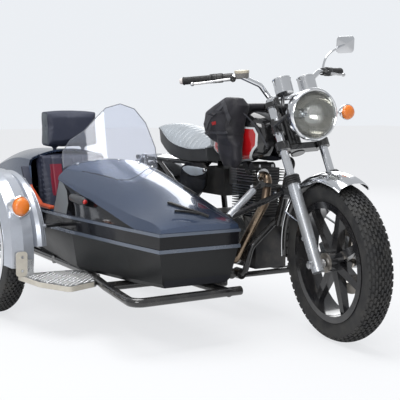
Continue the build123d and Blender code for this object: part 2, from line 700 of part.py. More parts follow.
# screen base: an arc in plan, swept back on the entry side
SCREEN_OUT, SCREEN_MID, SCREEN_IN = (352, -722), (494, -560), (556, -352)
base_arc = ThreePointArc(SCREEN_OUT, SCREEN_MID, SCREEN_IN)
REAR_X = 70.0
opening = make_face(
    base_arc
    + Polyline(SCREEN_IN, (500, -352), (REAR_X, -352), (REAR_X, -742), (352, -742), SCREEN_OUT)
)
shell -= extrude(opening, 500, dir=(0, 0, 1)).moved(Location((-14, 0, BELT_UP + 15)))
ENTRY_LOW = BELT_UP + 8.0
ENTRY = [
    # x, z of the low side where the passenger steps in
    (384, ENTRY_LOW), (384, 800), (96, 800), (66, 640), (120, 540), (236, ENTRY_LOW),
]
shell -= side_plate(ENTRY, -830, -560)
PART_X = 384.0
cowl = shell & block(PART_X, NOSE_BELT + 60, -900, -200, 400, 900)
tail_body = shell & block(TAIL_BELT - 60, PART_X - LIE, -900, -200, 400, 900)
# shallow three-cornered recess along the cowl's outer side
RECESS = 4.0
recess = side_plate([(1064, UPPER_LOW), (PART_X, 598), (PART_X, UPPER_LOW)], -830, -700)
cowl -= recess - upper_solid(RECESS, UPPER_LOW - 20)
save("sidecar_cowl", cowl)
save("sidecar_tail", tail_body)

# belt mouldings round the hull at both levels
def moulding(z, half, proud):
    outer = [
        (NOSE_BELT + proud, BELT_Y[0][1] + proud), (NOSE_BELT + proud, BELT_Y[0][2] - proud),
        *[(x, yo - proud) for x, _, yo in BELT_Y[1:5]],
        (TAIL_BELT - proud, BELT_Y[5][2] - proud), (TAIL_BELT - proud, BELT_Y[5][1] + proud),
        *[(x, yi + proud) for x, yi, _ in reversed(BELT_Y[1:5])],
    ]
    return plan_plate(outer, z - half, z + half)


belts = moulding(BELT_LOW, 7, 6) + moulding(BELT_UP - 6, 6, 6)
belts -= tub_solid(-LIE, BELT_UP + 1)
save("belt_mouldings", belts)

# windscreen standing on the cowl, leaning back
LEAN = 14.0
sheet_outer = extrude(
    make_face(
        base_arc
        + Line(SCREEN_IN, (SCREEN_IN[0] - 3, SCREEN_IN[1] - 3))
        + ThreePointArc(
            (SCREEN_IN[0] - 3, SCREEN_IN[1] - 3),
            (SCREEN_MID[0] - 4, SCREEN_MID[1] + 1),
            (SCREEN_OUT[0] - 3, SCREEN_OUT[1] + 3),
        )
        + Line((SCREEN_OUT[0] - 3, SCREEN_OUT[1] + 3), SCREEN_OUT)
    ),
    480,
    dir=(-math.tan(math.radians(LEAN)), 0, 1),
).moved(Location((math.tan(math.radians(LEAN)) * 210, 0, 480)))
SCREEN = [
    # y, z of the edge seen from the front
    (-340, 600), (-352, 740), (-385, 850), (-430, 912), (-490, 934), (-550, 915),
    (-600, 862), (-640, 812), (-690, 770), (-716, 720), (-726, 560),
]
edge = extrude(
    make_face(Polyline(*[(900, y, z) for y, z in SCREEN], close=True)), 900, dir=(-1, 0, 0)
)
screen = (sheet_outer & edge) - upper_solid(-0.8, UPPER_LOW - 50) - cowl
screen = screen.solids().sort_by(SortBy.VOLUME)[-1]
save("windscreen", screen)

# cockpit: floor pan, cushion, backrest with the headrest box, red gunwale trim
cushion = block(130, 520, -700, -380, 330, 420)
cushion = fillet(cushion.edges().filter_by(Axis.Z), 30)
base = block(140, 510, -690, -390, HULL_FLOOR + WALL, 330)
save("sidecar_seat", cushion + base - tub)
rest = side_plate([(60, 424), (140, 424), (68, 690), (0, 690)], -705, -372)
headrest = side_plate([(-30, 728), (52, 728), (40, 890), (-30, 890)], -652, -396)
headrest = fillet(headrest.edges().filter_by(Axis.Y), 14)
rest += headrest
for y in (-600, -450):
    rest += rod((5, y, 680), (5, y, 740), 10)
rest -= shell
save("sidecar_backrest", rest)
trim = side_plate(
    [
        (382, ENTRY_LOW + 1), (382, ENTRY_LOW + 15), (246, ENTRY_LOW + 15), (132, 548),
        (80, 640), (66, 636), (120, 540), (236, ENTRY_LOW + LIE),
    ],
    -800,
    -764,
)
save("gunwale_trim", trim - tub - shell)

# sidecar chassis: loop under the hull, bow tube in front, arms to the bike
RAIL_OUT, RAIL_IN, BOW_X = -690.0, -420.0, NOSE_BELT + 8.0
BOW_TUBE = [(900, -784, CHASSIS_Z), (BOW_X, -850, CHASSIS_Z), (BOW_X - 16, -356, CHASSIS_Z)]
chassis = pipe(BOW_TUBE, CHASSIS_R, 40)
chassis += chain_of_rods(
    [(-430, RAIL_OUT + 50, CHASSIS_Z), (560, RAIL_OUT - 10, CHASSIS_Z), BOW_TUBE[0]], CHASSIS_R
)
chassis += Pos(*BOW_TUBE[0]) * Sphere(CHASSIS_R)
chassis += rod((-430, RAIL_IN, CHASSIS_Z), (BOW_X, RAIL_IN, CHASSIS_Z), CHASSIS_R)
for x, y in ((-430, RAIL_OUT + 50), (200, RAIL_OUT - 6), (900, -784)):
    chassis += rod((x, RAIL_IN, CHASSIS_Z), (x, y, CHASSIS_Z), CHASSIS_R)
# lower joints on the bike's cradle: a clamp round the rail, a ball and an arm
for x in (890, 560):
    chassis += rod((x, RAIL_IN, CHASSIS_Z), (x, -RAIL_Y - 40, RAIL_Z), 14)
    chassis += rod((x - 22, -RAIL_Y, RAIL_Z), (x + 22, -RAIL_Y, RAIL_Z), 24)
    chassis += Pos(x, -RAIL_Y - 40, RAIL_Z) * Sphere(22)
# upright at the hull's inner front corner, up to the strut joint
JOINT = (NOSE_BELT - 154.0, -330.0, 476.0)
chassis += chain_of_rods(
    [(JOINT[0], RAIL_IN, CHASSIS_Z), (JOINT[0], JOINT[1], CHASSIS_Z), (JOINT[0], JOINT[1], 462)], 10
)
chassis += Pos(JOINT[0], JOINT[1], CHASSIS_Z) * Sphere(10)
chassis -= frame
save("sidecar_chassis", chassis)

# upper struts from the hull's inner front corner and from behind the seat
EYE_Z = 566.0
STRUT_END = (LUG[0] + 12, LUG[1] - 54, LUG[2] - 24)
struts = rod(JOINT, STRUT_END, 15) + rod(STRUT_END, (LUG[0], LUG[1] - 6, LUG[2]), 8)
struts += rod(JOINT, (FRAME_FRONT + 10, -26, EYE_Z), 12.5)
struts += barrel(FRAME_FRONT + 6, -30, 30, EYE_Z, 27)
struts += Pos(*JOINT) * Sphere(20)
struts -= frame
struts -= rod((JOINT[0], JOINT[1], 200), (JOINT[0], JOINT[1], 462), 10.2)
save("sidecar_struts", struts)

# swinging arm and stub axle of the sidecar wheel
hub_y = SIDE["y"] + 76
arm = chain_of_rods(
    [(-200, -654, CHASSIS_Z), (-200, -800, CHASSIS_Z), (SIDE["x"], -860, SIDE["r"])], 17
)
arm += Pos(-200, -800, CHASSIS_Z) * Sphere(17)
arm += barrel(SIDE["x"], -874, -846, SIDE["r"], 30)
arm += barrel(SIDE["x"], SIDE["y"] - 86, -860, SIDE["r"], SIDE_AXLE_R)
arm += barrel(SIDE["x"], SIDE["y"] - 96, SIDE["y"] - 80, SIDE["r"], 18)
save("sidecar_wheel_arm", arm - tub - chassis)

# sidecar mudguard: deep main lobe and a lower inner lobe
def lobe(r, y0, y1, drop, low_angle):
    y0, y1 = y0 - SIDE["y"], y1 - SIDE["y"]
    mid = (y0 + y1) / 2
    crown = [(r - drop, y0), (r - 8, y0 + 14), (r, mid), (r - 8, y1 - 14), (r - drop, y1)]
    crown += [(p - 4, q + (mid - q) * 0.08) for p, q in reversed(crown)]
    ring = ring_of(crown, SIDE)
    a = math.radians(low_angle)
    cx, cz, far = SIDE["x"], SIDE["r"], 900
    keep = side_plate(
        [
            (cx, cz), (cx + far * math.cos(a), cz + far * math.sin(a)), (cx + far, cz + far),
            (cx - far, cz + far), (cx - far, cz - 60),
        ],
        -1200,
        -700,
    )
    return ring & keep


mudguard = lobe(352, -1052, -926, 60, -8)
mudguard += lobe(336, -930, -868, 30, 6)
STAY_Z = BELT_LOW + 19.0
mudguard += rod((498, -884, STAY_Z), (470, -781, STAY_Z), 8)
mudguard += rod((-98, -884, STAY_Z), (-80, -777, STAY_Z), 8)
save("sidecar_mudguard", mudguard - tub)

# lamps: amber and white lamp on the mudguard, pod with a red lens on the cowl
lamp_a = math.radians(36)
nose = Vector(SIDE["x"] + 350 * math.cos(lamp_a), -990, SIDE["r"] + 350 * math.sin(lamp_a))
markers = rod(tuple(nose), (nose.X + 42, -990, nose.Z + 4), 42)
markers += rod((nose.X + 42, -990, nose.Z + 4), (nose.X + 60, -990, nose.Z + 6), 26)
markers -= ring_of([(200, -70), (345, -70), (352.5, -10), (352.5, 10), (345, 70), (200, 70)], SIDE)
pod = rod((560, -768, 536), (650, -772, 532), 17) + rod((650, -772, 532), (690, -774, 530), 13)
markers += pod
save("sidecar_lamps", markers - cowl)

# half-round step plate before the wheel with its bracket
STEP = [
    # x, y round the plate, from the tyre forward and inwards
    (506, -1004), (714, -990), (866, -927), (812, -785), (684, -700), (600, -690), (520, -770),
]
step = plan_plate(STEP, 194, 216)
step = fillet(step.edges().filter_by(Axis.Z), 22)
step += block(554, 562, -1000, -950, 200, 285)
step += rod((600, RAIL_OUT - 20, CHASSIS_Z), (600, -800, 190), 10)
save("sidecar_step", step - chassis - tub - mudguard)

os.makedirs("parts", exist_ok=True)
for name, shape in parts.items():
    export_step(shape, f"parts/{name}.step")
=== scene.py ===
import json
import math

import bmesh
import bpy
from mathutils import Euler, Matrix, Vector
from mathutils.bvhtree import BVHTree


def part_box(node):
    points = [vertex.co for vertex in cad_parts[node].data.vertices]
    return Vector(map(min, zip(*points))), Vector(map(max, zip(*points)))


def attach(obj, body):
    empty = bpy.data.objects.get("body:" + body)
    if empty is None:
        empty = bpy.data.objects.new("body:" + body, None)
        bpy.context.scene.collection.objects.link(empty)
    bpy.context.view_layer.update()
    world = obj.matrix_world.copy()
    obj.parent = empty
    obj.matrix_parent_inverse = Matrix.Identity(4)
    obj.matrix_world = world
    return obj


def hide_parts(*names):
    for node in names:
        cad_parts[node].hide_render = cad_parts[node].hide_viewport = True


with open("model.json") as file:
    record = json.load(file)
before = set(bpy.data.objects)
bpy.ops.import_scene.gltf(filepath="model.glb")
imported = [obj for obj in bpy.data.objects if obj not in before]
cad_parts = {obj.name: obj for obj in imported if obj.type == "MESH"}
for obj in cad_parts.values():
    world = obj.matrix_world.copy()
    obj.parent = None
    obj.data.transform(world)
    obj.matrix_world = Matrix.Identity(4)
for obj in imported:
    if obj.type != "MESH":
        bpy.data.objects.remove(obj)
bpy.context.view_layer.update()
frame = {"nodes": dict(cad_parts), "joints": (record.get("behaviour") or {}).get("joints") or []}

# Place and view.
# x runs ahead of the rear axle, y to the bike's left and z up from the ground. The rear tyre says
# where that is, and the camera stands low at the front right, as it did for the photo.
MM = 0.001
HANDS = ((-1, "right"), (1, "left"))
low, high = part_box("rear_tyre")
REAR_AXLE, REAR_RADIUS = (low + high) / 2, (high.z - low.z) / 2


def at(x, y, z):
    # a point given in metres
    return REAR_AXLE + Vector((x, y, z - REAR_RADIUS))


def mm(x, y, z):
    return at(x * MM, y * MM, z * MM)


def add_object(name, data):
    made = bpy.data.objects.new(name, data)
    bpy.context.scene.collection.objects.link(made)
    return made


EYE = at(4.4266, -2.6114, 0.9898)
HEADING, PITCH_DOWN, ROLL = math.radians(147.22), math.radians(6.15), 0.0118
camera_data = bpy.data.cameras.new("photo_camera")
camera_data.lens, camera_data.sensor_width = 90.07, 36.0
camera = add_object("photo_camera", camera_data)
turn = Euler((math.radians(90) - PITCH_DOWN, 0, HEADING - math.radians(90))).to_matrix().to_4x4()
camera.matrix_world = Matrix.Translation(EYE) @ turn @ Matrix.Rotation(ROLL, 4, "Z")
bpy.context.scene.camera = camera

# Floor, sky and lamps.
# A pale floor and an even sky, near white to the camera and darker to what they light. A broad
# lamp above, one from the front right and a weaker one behind give plain light.
FLOOR_HALF, FLOOR_SHADE = 20.0, 0.72


def mesh_object(name, points, faces):
    mesh = bpy.data.meshes.new(name)
    mesh.from_pydata([tuple(p) for p in points], [], faces)
    mesh.update()
    return add_object(name, mesh)


def add_node(tree, kind, inputs=None, **settings):
    made = tree.nodes.new(kind)
    for key, value in settings.items():
        setattr(made, key, value)
    for key, value in (inputs or {}).items():
        if isinstance(value, bpy.types.NodeSocket):
            tree.links.new(value, made.inputs[key])
        else:
            made.inputs[key].default_value = value
    return made


def shade(tree, kind, inputs=None, socket=0, **settings):
    # one output of a new shader node
    return add_node(tree, "ShaderNode" + kind, inputs, **settings).outputs[socket]


def calc(tree, operation, first, second=0.0):
    return shade(tree, "Math", {0: first, 1: second}, operation=operation)


pale = bpy.data.materials.new("pale_floor")
pale.use_nodes = True
tree = pale.node_tree
tree.nodes.clear()
ray = add_node(tree, "ShaderNodeLightPath").outputs
seen = calc(tree, "MULTIPLY", ray["Is Glossy Ray"], 0.4)
for kind in ("Is Camera Ray", "Is Transmission Ray"):
    seen = calc(tree, "MAXIMUM", seen, ray[kind])
plain_floor = shade(tree, "BsdfDiffuse", {"Color": (FLOOR_SHADE, FLOOR_SHADE, FLOOR_SHADE, 1)})
glow = shade(tree, "Emission", {"Color": (0.86, 0.87, 0.89, 1), "Strength": 1.17})
mixed = shade(tree, "MixShader", {0: calc(tree, "MULTIPLY", seen, 0.7), 1: plain_floor, 2: glow})
add_node(tree, "ShaderNodeOutputMaterial", {"Surface": mixed})
floor = mesh_object("floor", [(x * FLOOR_HALF, y * FLOOR_HALF, 0)
                              for x, y in ((-1, -1), (1, -1), (1, 1), (-1, 1))], [(0, 1, 2, 3)])
floor.data.materials.append(pale)
world = bpy.data.worlds.new("soft_sky")
bpy.context.scene.world = world
world.use_nodes = True
tree = world.node_tree
tree.nodes.clear()
ray = add_node(tree, "ShaderNodeLightPath").outputs
shown = calc(tree, "MAXIMUM", ray["Is Camera Ray"], ray["Is Transmission Ray"])
strength = shade(tree, "MapRange", {"Value": shown, "To Min": 0.55, "To Max": 0.90})
light = shade(tree, "Background", {"Color": (0.93, 0.96, 1.0, 1), "Strength": strength})
add_node(tree, "ShaderNodeOutputWorld", {"Surface": light})
for name, place, aim, size, watts in (
        ("top_lamp", (0.6, -1.0, 4.6), (0.5, -0.3, 0.4), 3.2, 170),
        ("front_lamp", (4.6, -4.4, 2.6), (0.8, -0.4, 0.5), 2.2, 95),
        ("back_lamp", (-3.4, 3.4, 3.0), (0.4, -0.2, 0.5), 2.6, 60)):
    lamp_data = bpy.data.lights.new(name, "AREA")
    lamp_data.energy, lamp_data.size = watts, size
    aimed = (Vector(aim) - Vector(place)).to_track_quat("-Z", "Y").to_matrix().to_4x4()
    add_object(name, lamp_data).matrix_world = Matrix.Translation(at(*place)) @ aimed
bpy.context.scene.view_settings.view_transform = "Standard"

# Tyres.
# Black road rubber with rows of small blocks cut across a round crown, and plain side walls.
# Each carcass is turned round its axle, and the blocks are set on it in staggered rings.


def new_group(name, family, inputs, outputs):
    # an input's socket type comes from its default; a word is the type of one without a default
    made = bpy.data.node_groups.new(name, family + "NodeTree")
    for label, value in inputs.items():
        kind = value if isinstance(value, str) else type(value).__name__.title()
        if isinstance(value, tuple):
            kind = {3: "Vector", 4: "Color"}[len(value)]
        item = made.interface.new_socket(label, in_out="INPUT", socket_type="NodeSocket" + kind)
        if not isinstance(value, str):
            item.default_value = value
    for label, kind in outputs.items():
        made.interface.new_socket(label, in_out="OUTPUT", socket_type="NodeSocket" + kind)
    return made, made.nodes.new("NodeGroupInput").outputs


def object_place(tree):
    return add_node(tree, "ShaderNodeTexCoord").outputs["Object"]


def noise(tree, scale, **inputs):
    return shade(tree, "TexNoise", {"Vector": object_place(tree), "Scale": scale, **inputs})


# weathering of any finish: two colours and two roughnesses by a soft cloud, and a fine grain
patina, wear = new_group(
    "patina", "Shader",
    {"Clean": (0.5, 0.5, 0.5, 1), "Dusty": (0.3, 0.3, 0.3, 1), "Amount": 0.5, "Scale": 12.0,
     "Grain": 300.0, "Rough Clean": 0.3, "Rough Dusty": 0.5},
    {"Color": "Color", "Roughness": "Float", "Height": "Float"})
cloud = noise(patina, wear["Scale"], Detail=6.0, Roughness=0.62)
mask = shade(patina, "MapRange", {"Value": cloud, "From Min": 0.42, "From Max": 0.68})
mask = calc(patina, "MULTIPLY", mask, wear["Amount"])
add_node(patina, "NodeGroupOutput", {
    "Color": shade(patina, "Mix", {"Factor": mask, 6: wear["Clean"], 7: wear["Dusty"]}, 2,
                   data_type="RGBA"),
    "Roughness": shade(patina, "MapRange", {"Value": mask, "To Min": wear["Rough Clean"],
                                            "To Max": wear["Rough Dusty"]}),
    "Height": noise(patina, wear["Grain"], Detail=2.0)})


def plain(name, **shader):
    # a Principled material; shader holds the plain values of its sockets
    made = bpy.data.materials.new(name)
    made.use_nodes = True
    surface = made.node_tree.nodes["Principled BSDF"].inputs
    for label, value in shader.items():
        surface[label.replace("_", " ")].default_value = value
    return made, made.node_tree, surface


def emboss(tree, height, strength, distance):
    bump = shade(tree, "Bump", {"Height": height, "Strength": strength, "Distance": distance})
    tree.links.new(bump, tree.nodes["Principled BSDF"].inputs["Normal"])


def finish(name, clean, dusty, amount=0.5, scale=12.0, rough=(0.3, 0.5), grain=300.0, bump=0.1, **shader):
    # one weathered finish
    made, tree, surface = plain(name, **shader)
    worn = add_node(tree, "ShaderNodeGroup", {}, node_tree=patina)
    for label, value in (("Clean", (*clean, 1)), ("Dusty", (*dusty, 1)), ("Amount", amount),
                         ("Scale", scale), ("Grain", grain), ("Rough Clean", rough[0]),
                         ("Rough Dusty", rough[1])):
        worn.inputs[label].default_value = value
    tree.links.new(worn.outputs["Color"], surface["Base Color"])
    tree.links.new(worn.outputs["Roughness"], surface["Roughness"])
    emboss(tree, worn.outputs["Height"], bump, 0.0006)
    return made


def tidy(made):
    # merges doubles and turns every face outwards
    shape = bmesh.new()
    shape.from_mesh(made.data)
    bmesh.ops.remove_doubles(shape, verts=shape.verts, dist=0.00002)
    bmesh.ops.dissolve_degenerate(shape, edges=shape.edges, dist=0.00002)
    bmesh.ops.recalc_face_normals(shape, faces=shape.faces)
    shape.to_mesh(made.data)
    shape.free()
    made.data.update()
    return made


def skin(name, rows, loop=True, caps=False, ring=False):
    # faces between rows of points; loop joins each row's ends, ring the last row to the first
    count, faces = len(rows[0]), []
    for i in range(len(rows) if ring else len(rows) - 1):
        j = (i + 1) % len(rows)
        for k in range(count if loop else count - 1):
            n = (k + 1) % count
            faces.append((i * count + k, j * count + k, j * count + n, i * count + n))
    if caps:
        last = (len(rows) - 1) * count
        faces += [tuple(range(count)), tuple(range(last, last + count))]
    return tidy(mesh_object(name, [p for row in rows for p in row], faces))


def lathe(name, profile, centre, axis=(0, 1, 0), segments=96, closed=False):
    # turns (radius, place along the axis), in mm, round an axis through centre
    axis = Vector(axis).normalized()
    side = axis.orthogonal().normalized()
    other, rows = axis.cross(side), []
    for i in range(segments):
        a = 2 * math.pi * i / segments
        away = side * math.cos(a) + other * math.sin(a)
        rows.append([Vector(centre) + away * (r * MM) + axis * (h * MM) for r, h in profile])
    return skin(name, rows, loop=closed, ring=True)


def settle(made, body, material, slot, nodes=(), crease=35.0):
    # smooth faces, the finish, the body it rides on and the solids it stands for
    made.data.shade_smooth()
    made.data.set_sharp_from_angle(angle=math.radians(crease))
    made.data.materials.clear()
    made.data.materials.append(material)
    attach(made, body)
    if nodes:
        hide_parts(*nodes)
    return made


def baked(made):
    return bpy.data.meshes.new_from_object(made.evaluated_get(bpy.context.evaluated_depsgraph_get()))


def from_tree(name, tree, values, start):
    # runs a Geometry Nodes tree once on start and keeps its result as a plain mesh
    change = start.modifiers.new("nodes", "NODES")
    change.node_group = tree
    for item in tree.interface.items_tree:
        if item.item_type == "SOCKET" and item.in_out == "INPUT" and item.name in values:
            change[item.identifier] = values[item.name]
    mesh = baked(start)
    bpy.data.objects.remove(start)
    return add_object(name, mesh)


def geo(tree, kind, inputs=None, **settings):
    # the first output of a new Geometry Nodes node
    return add_node(tree, "GeometryNode" + kind, inputs, **settings).outputs[0]


def facing(tree, inputs, **settings):
    return add_node(tree, "FunctionNodeAlignRotationToVector", inputs, **settings).outputs[0]


def strewn(tree, points, instance, material, **inputs):
    # ends a tree with real copies of instance on points
    spread = geo(tree, "InstanceOnPoints", {"Points": points, "Instance": instance, **inputs})
    real = geo(tree, "RealizeInstances", {0: spread})
    named = geo(tree, "SetMaterial", {"Geometry": real, "Material": material})
    add_node(tree, "NodeGroupOutput", {"Geometry": named})


STEERING = next(j for j in frame["joints"] if j["name"] == "steering")
PARKED = math.radians(-8.7)
pivot = Vector(STEERING["pos_m"])
STEER = (Matrix.Translation(pivot) @ Matrix.Rotation(PARKED, 4, Vector(STEERING["axis"]))
         @ Matrix.Translation(-pivot))


def steered(made):
    # from straight ahead to where the bars are parked
    made.data.transform(STEER)
    return made


tread, knobs = new_group(
    "tread_blocks", "Geometry",
    {"Geometry": "Geometry", "Rows": 10, "Count": 60, "Radius": 0.3, "Half Width": 0.05,
     "Shoulder Drop": 0.015, "Block": (0.02, 0.01, 0.01), "Material": "Material"},
    {"Geometry": "Geometry"})
grid = geo(tread, "MeshGrid", {"Size X": 1.0, "Size Y": 1.0, "Vertices X": knobs["Count"],
                               "Vertices Y": knobs["Rows"]})
index = geo(tread, "InputIndex")
row = calc(tread, "MODULO", index, knobs["Rows"])
column = calc(tread, "FLOOR", calc(tread, "DIVIDE", index, knobs["Rows"]))
stagger = calc(tread, "MULTIPLY", calc(tread, "MODULO", row, 2.0), 0.5)
angle = calc(tread, "MULTIPLY", calc(tread, "ADD", column, stagger),
             calc(tread, "DIVIDE", 2 * math.pi, knobs["Count"]))
across = calc(tread, "DIVIDE", calc(tread, "MULTIPLY", row, 2.0), calc(tread, "SUBTRACT", knobs["Rows"], 1.0))
across = calc(tread, "SUBTRACT", across, 1.0)
fall = calc(tread, "MULTIPLY", calc(tread, "POWER", calc(tread, "ABSOLUTE", across), 2.2),
            knobs["Shoulder Drop"])
radius = calc(tread, "SUBTRACT", knobs["Radius"], fall)
lean = calc(tread, "MULTIPLY", across, 0.75)


def round_axle(length, sideways):
    return shade(tread, "CombineXYZ", {0: calc(tread, "MULTIPLY", length, calc(tread, "COSINE", angle)), 1: sideways,
                                       2: calc(tread, "MULTIPLY", length, calc(tread, "SINE", angle))})


outward = round_axle(calc(tread, "COSINE", lean), calc(tread, "SINE", lean))
moved = geo(tread, "SetPosition", {
    "Geometry": grid, "Position": round_axle(radius, calc(tread, "MULTIPLY", across, knobs["Half Width"]))})
upright = facing(tread, {"Vector": outward}, axis="Z")
upright = facing(tread, {"Rotation": upright, "Vector": (0, 1, 0)}, axis="Y", pivot_axis="Z")
strewn(tread, moved, geo(tread, "MeshCube", {"Size": knobs["Block"]}), knobs["Material"], Rotation=upright)
rubber = finish("tyre_rubber", (0.016, 0.016, 0.017), (0.075, 0.072, 0.066), 0.55, 16, (0.62, 0.9), 260, 0.5)
GROOVE, BLOCK_ROWS = 6, 10
FRONT_AXLE = Vector((1400, 0, 325))
WALL = [(0.0, 0.80), (0.10, 0.81), (0.14, 0.86), (0.28, 0.955), (0.45, 0.995), (0.62, 0.985),
        (0.76, 0.93), (0.86, 0.82), (0.93, 0.62), (0.97, 0.40), (0.985, 0.18)]
for name, axle, radius, width, bead, count, body, node in (
        ("front", FRONT_AXLE, 325, 110, 236, 62, "front_wheel_unit", "front_tyre"),
        ("rear", (0, 0, 320), 320, 112, 236, 60, "rear_wheel_unit", "rear_tyre"),
        ("side", (200, -985, 296), 296, 92, 208, 58, "sidecar_wheel_unit", "sidecar_tyre")):
    section = [(bead + up * (radius - bead) - (GROOVE if up > 0.8 else 0), out * width / 2) for up, out in WALL]
    section += [(r, -y) for r, y in reversed(section)]
    carcass = lathe(name + "_carcass", section, mm(*axle), segments=128, closed=True)
    blocks = from_tree(name + "_blocks", tread, {
        "Rows": BLOCK_ROWS, "Count": count, "Radius": (radius - 0.72 * GROOVE) * MM,
        "Half Width": width * 0.455 * MM, "Shoulder Drop": 0.145 * (radius - bead) * MM + 0.004,
        "Block": (0.66 * 2 * math.pi * radius * MM / count, width * 0.078 * MM, 1.4 * GROOVE * MM),
        "Material": rubber}, mesh_object(name + "_blocks_start", [(0, 0, 0)], []))
    blocks.data.transform(Matrix.Translation(mm(*axle)))
    for part in (carcass, blocks):
        if name == "front":
            steered(part)
        settle(part, body, rubber, "tyre_rubber")
    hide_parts(node)

# Cast wheels.
# The two road wheels are one-piece seven-spoke castings in gloss black, with bright hub ends, a
# steel disc on the left of the front one and the sprocket on the left of the rear one.
HUB_FACE, BRIGHT_R = 49.2, 141.5


def dress(material, *nodes):
    # gives carried-over solids their finish
    for node in nodes:
        for held in frame["nodes"][node].material_slots:
            held.material = material


def vector(tree, operation, first, second=None, socket=0):
    inputs = {0: first} if second is None else {0: first, 1: second}
    return shade(tree, "VectorMath", inputs, socket, operation=operation)


# where a point lies about an axle: its distance from it and its place along it
about_axle, hub = new_group("about_axle", "Shader", {"Centre": (0, 0, 0), "Axis": (0, 1, 0)},
                            {"Radius": "Float", "Along": "Float"})
offset = vector(about_axle, "SUBTRACT", object_place(about_axle), hub["Centre"])
along = vector(about_axle, "DOT_PRODUCT", offset, hub["Axis"], "Value")
foot = shade(about_axle, "VectorMath", {0: hub["Axis"], "Scale": along}, operation="SCALE")
reach = vector(about_axle, "LENGTH", vector(about_axle, "SUBTRACT", offset, foot), None, "Value")
add_node(about_axle, "NodeGroupOutput", {"Radius": reach, "Along": along})

# 1 inside a box that lies square to the machine, 0 outside it
within_box, walls = new_group("within_box", "Shader", {"Low": (0, 0, 0), "High": (1, 1, 1)}, {"Mask": "Float"})
here, inside = object_place(within_box), 1.0
for first, second in ((here, walls["Low"]), (walls["High"], here)):
    gap = vector(within_box, "SUBTRACT", first, second)
    axes = add_node(within_box, "ShaderNodeSeparateXYZ", {0: gap}).outputs
    for k in range(3):
        inside = calc(within_box, "MULTIPLY", inside, calc(within_box, "GREATER_THAN", axes[k], 0.0))
add_node(within_box, "NodeGroupOutput", {"Mask": inside})

# 1 on one side of a flat cut through the machine
past_line, rail = new_group("past_line", "Shader", {"Point": (0, 0, 0), "Way": (1, 0, 0)}, {"Mask": "Float"})
offset = vector(past_line, "SUBTRACT", object_place(past_line), rail["Point"])
side_of = vector(past_line, "DOT_PRODUCT", offset, rail["Way"], "Value")
add_node(past_line, "NodeGroupOutput", {"Mask": calc(past_line, "GREATER_THAN", side_of, 0.0)})


def masked(tree, group, **inputs):
    made = add_node(tree, "ShaderNodeGroup", node_tree=group)
    for label, value in inputs.items():
        made.inputs[label].default_value = value
    return made.outputs


def box_mask(tree, lowest, highest):
    return masked(tree, within_box, Low=mm(*lowest), High=mm(*highest))[0]


def cut_mask(tree, point, way):
    # 1 beyond a point, looking along way
    return masked(tree, past_line, Point=mm(*point), Way=way)[0]


def sides_mask(tree, y):
    # 1 further out than y on either side
    return calc(tree, "MAXIMUM", cut_mask(tree, (0, -y, 0), (0, -1, 0)), cut_mask(tree, (0, y, 0), (0, 1, 0)))


def polar_mask(tree, centre, axis, reach, first=-1e3, last=1e3):
    # 1 within reach of an axis through centre, between two places along it
    where = masked(tree, about_axle, Centre=mm(*centre), Axis=axis)
    mask = calc(tree, "LESS_THAN", where["Radius"], reach * MM)
    mask = calc(tree, "MULTIPLY", mask, calc(tree, "GREATER_THAN", where["Along"], first * MM))
    return calc(tree, "MULTIPLY", mask, calc(tree, "LESS_THAN", where["Along"], last * MM))


def repaint(made, mask, colour, rough, metallic=None, coat=None):
    # another finish where the mask is 1
    tree = made.node_tree
    for label, value in (("Base Color", (*colour, 1)), ("Roughness", rough), ("Metallic", metallic),
                         ("Coat Weight", coat)):
        if value is None:
            continue
        socket = tree.nodes["Principled BSDF"].inputs[label]
        before = socket.links[0].from_socket if socket.is_linked else socket.default_value
        if label == "Base Color":
            mix = shade(tree, "Mix", {"Factor": mask, 6: before, 7: value}, 2, data_type="RGBA")
        else:
            mix = shade(tree, "Mix", {"Factor": mask, 2: before, 3: value})
        tree.links.new(mix, socket)


for body, node in (("front_wheel_unit", "front_wheel"), ("rear_wheel_unit", "rear_wheel")):
    spin = next(j for j in frame["joints"] if j["child"] == body)
    wheel_black = finish(node + "_black", (0.012, 0.012, 0.014), (0.06, 0.055, 0.05), 0.4, 18, (0.16, 0.42),
                         500, 0.03, Coat_Weight=0.6, Coat_Roughness=0.08)
    tree = wheel_black.node_tree
    where = masked(tree, about_axle, Centre=spin["pos_m"], Axis=spin["axis"])
    beyond = calc(tree, "GREATER_THAN", calc(tree, "ABSOLUTE", where["Along"]), HUB_FACE * MM)
    bright = calc(tree, "MULTIPLY", beyond, calc(tree, "LESS_THAN", where["Radius"], BRIGHT_R * MM))
    repaint(wheel_black, bright, (0.46, 0.42, 0.37), 0.32, 1.0)
    dress(wheel_black, node)

# Wire wheel.
# The sidecar's own wheel is chrome all over: its steel rim, wire spokes and hub.
chrome = finish("chrome", (0.78, 0.79, 0.81), (0.58, 0.57, 0.56), 0.3, 8, (0.12, 0.2), 300, 0.004, Metallic=1.0)
dress(chrome, "sidecar_wheel")

# Fork.
# Silver-painted sliders carry the axle, chrome stanchions run up through two black clamps, and a
# ribbed rubber boot seals each slider's mouth. Hexagon nuts close the axle and the fork caps.
RAKE, LEG_Y = math.radians(27.5), 95.0
UP_FORK = Vector((-math.sin(RAKE), 0, math.cos(RAKE)))
AHEAD = Vector((math.cos(RAKE), 0, math.sin(RAKE)))


def fork_point(s, y=0.0, off=0.0):
    # mm up the leg from the front axle, to the left, and ahead of the leg
    p = FRONT_AXLE + UP_FORK * s + AHEAD * off
    return mm(p.x, y, p.z)


def on_fork(made, material, slot, *nodes, crease=35.0):
    return settle(steered(made), "fork", material, slot, nodes, crease)


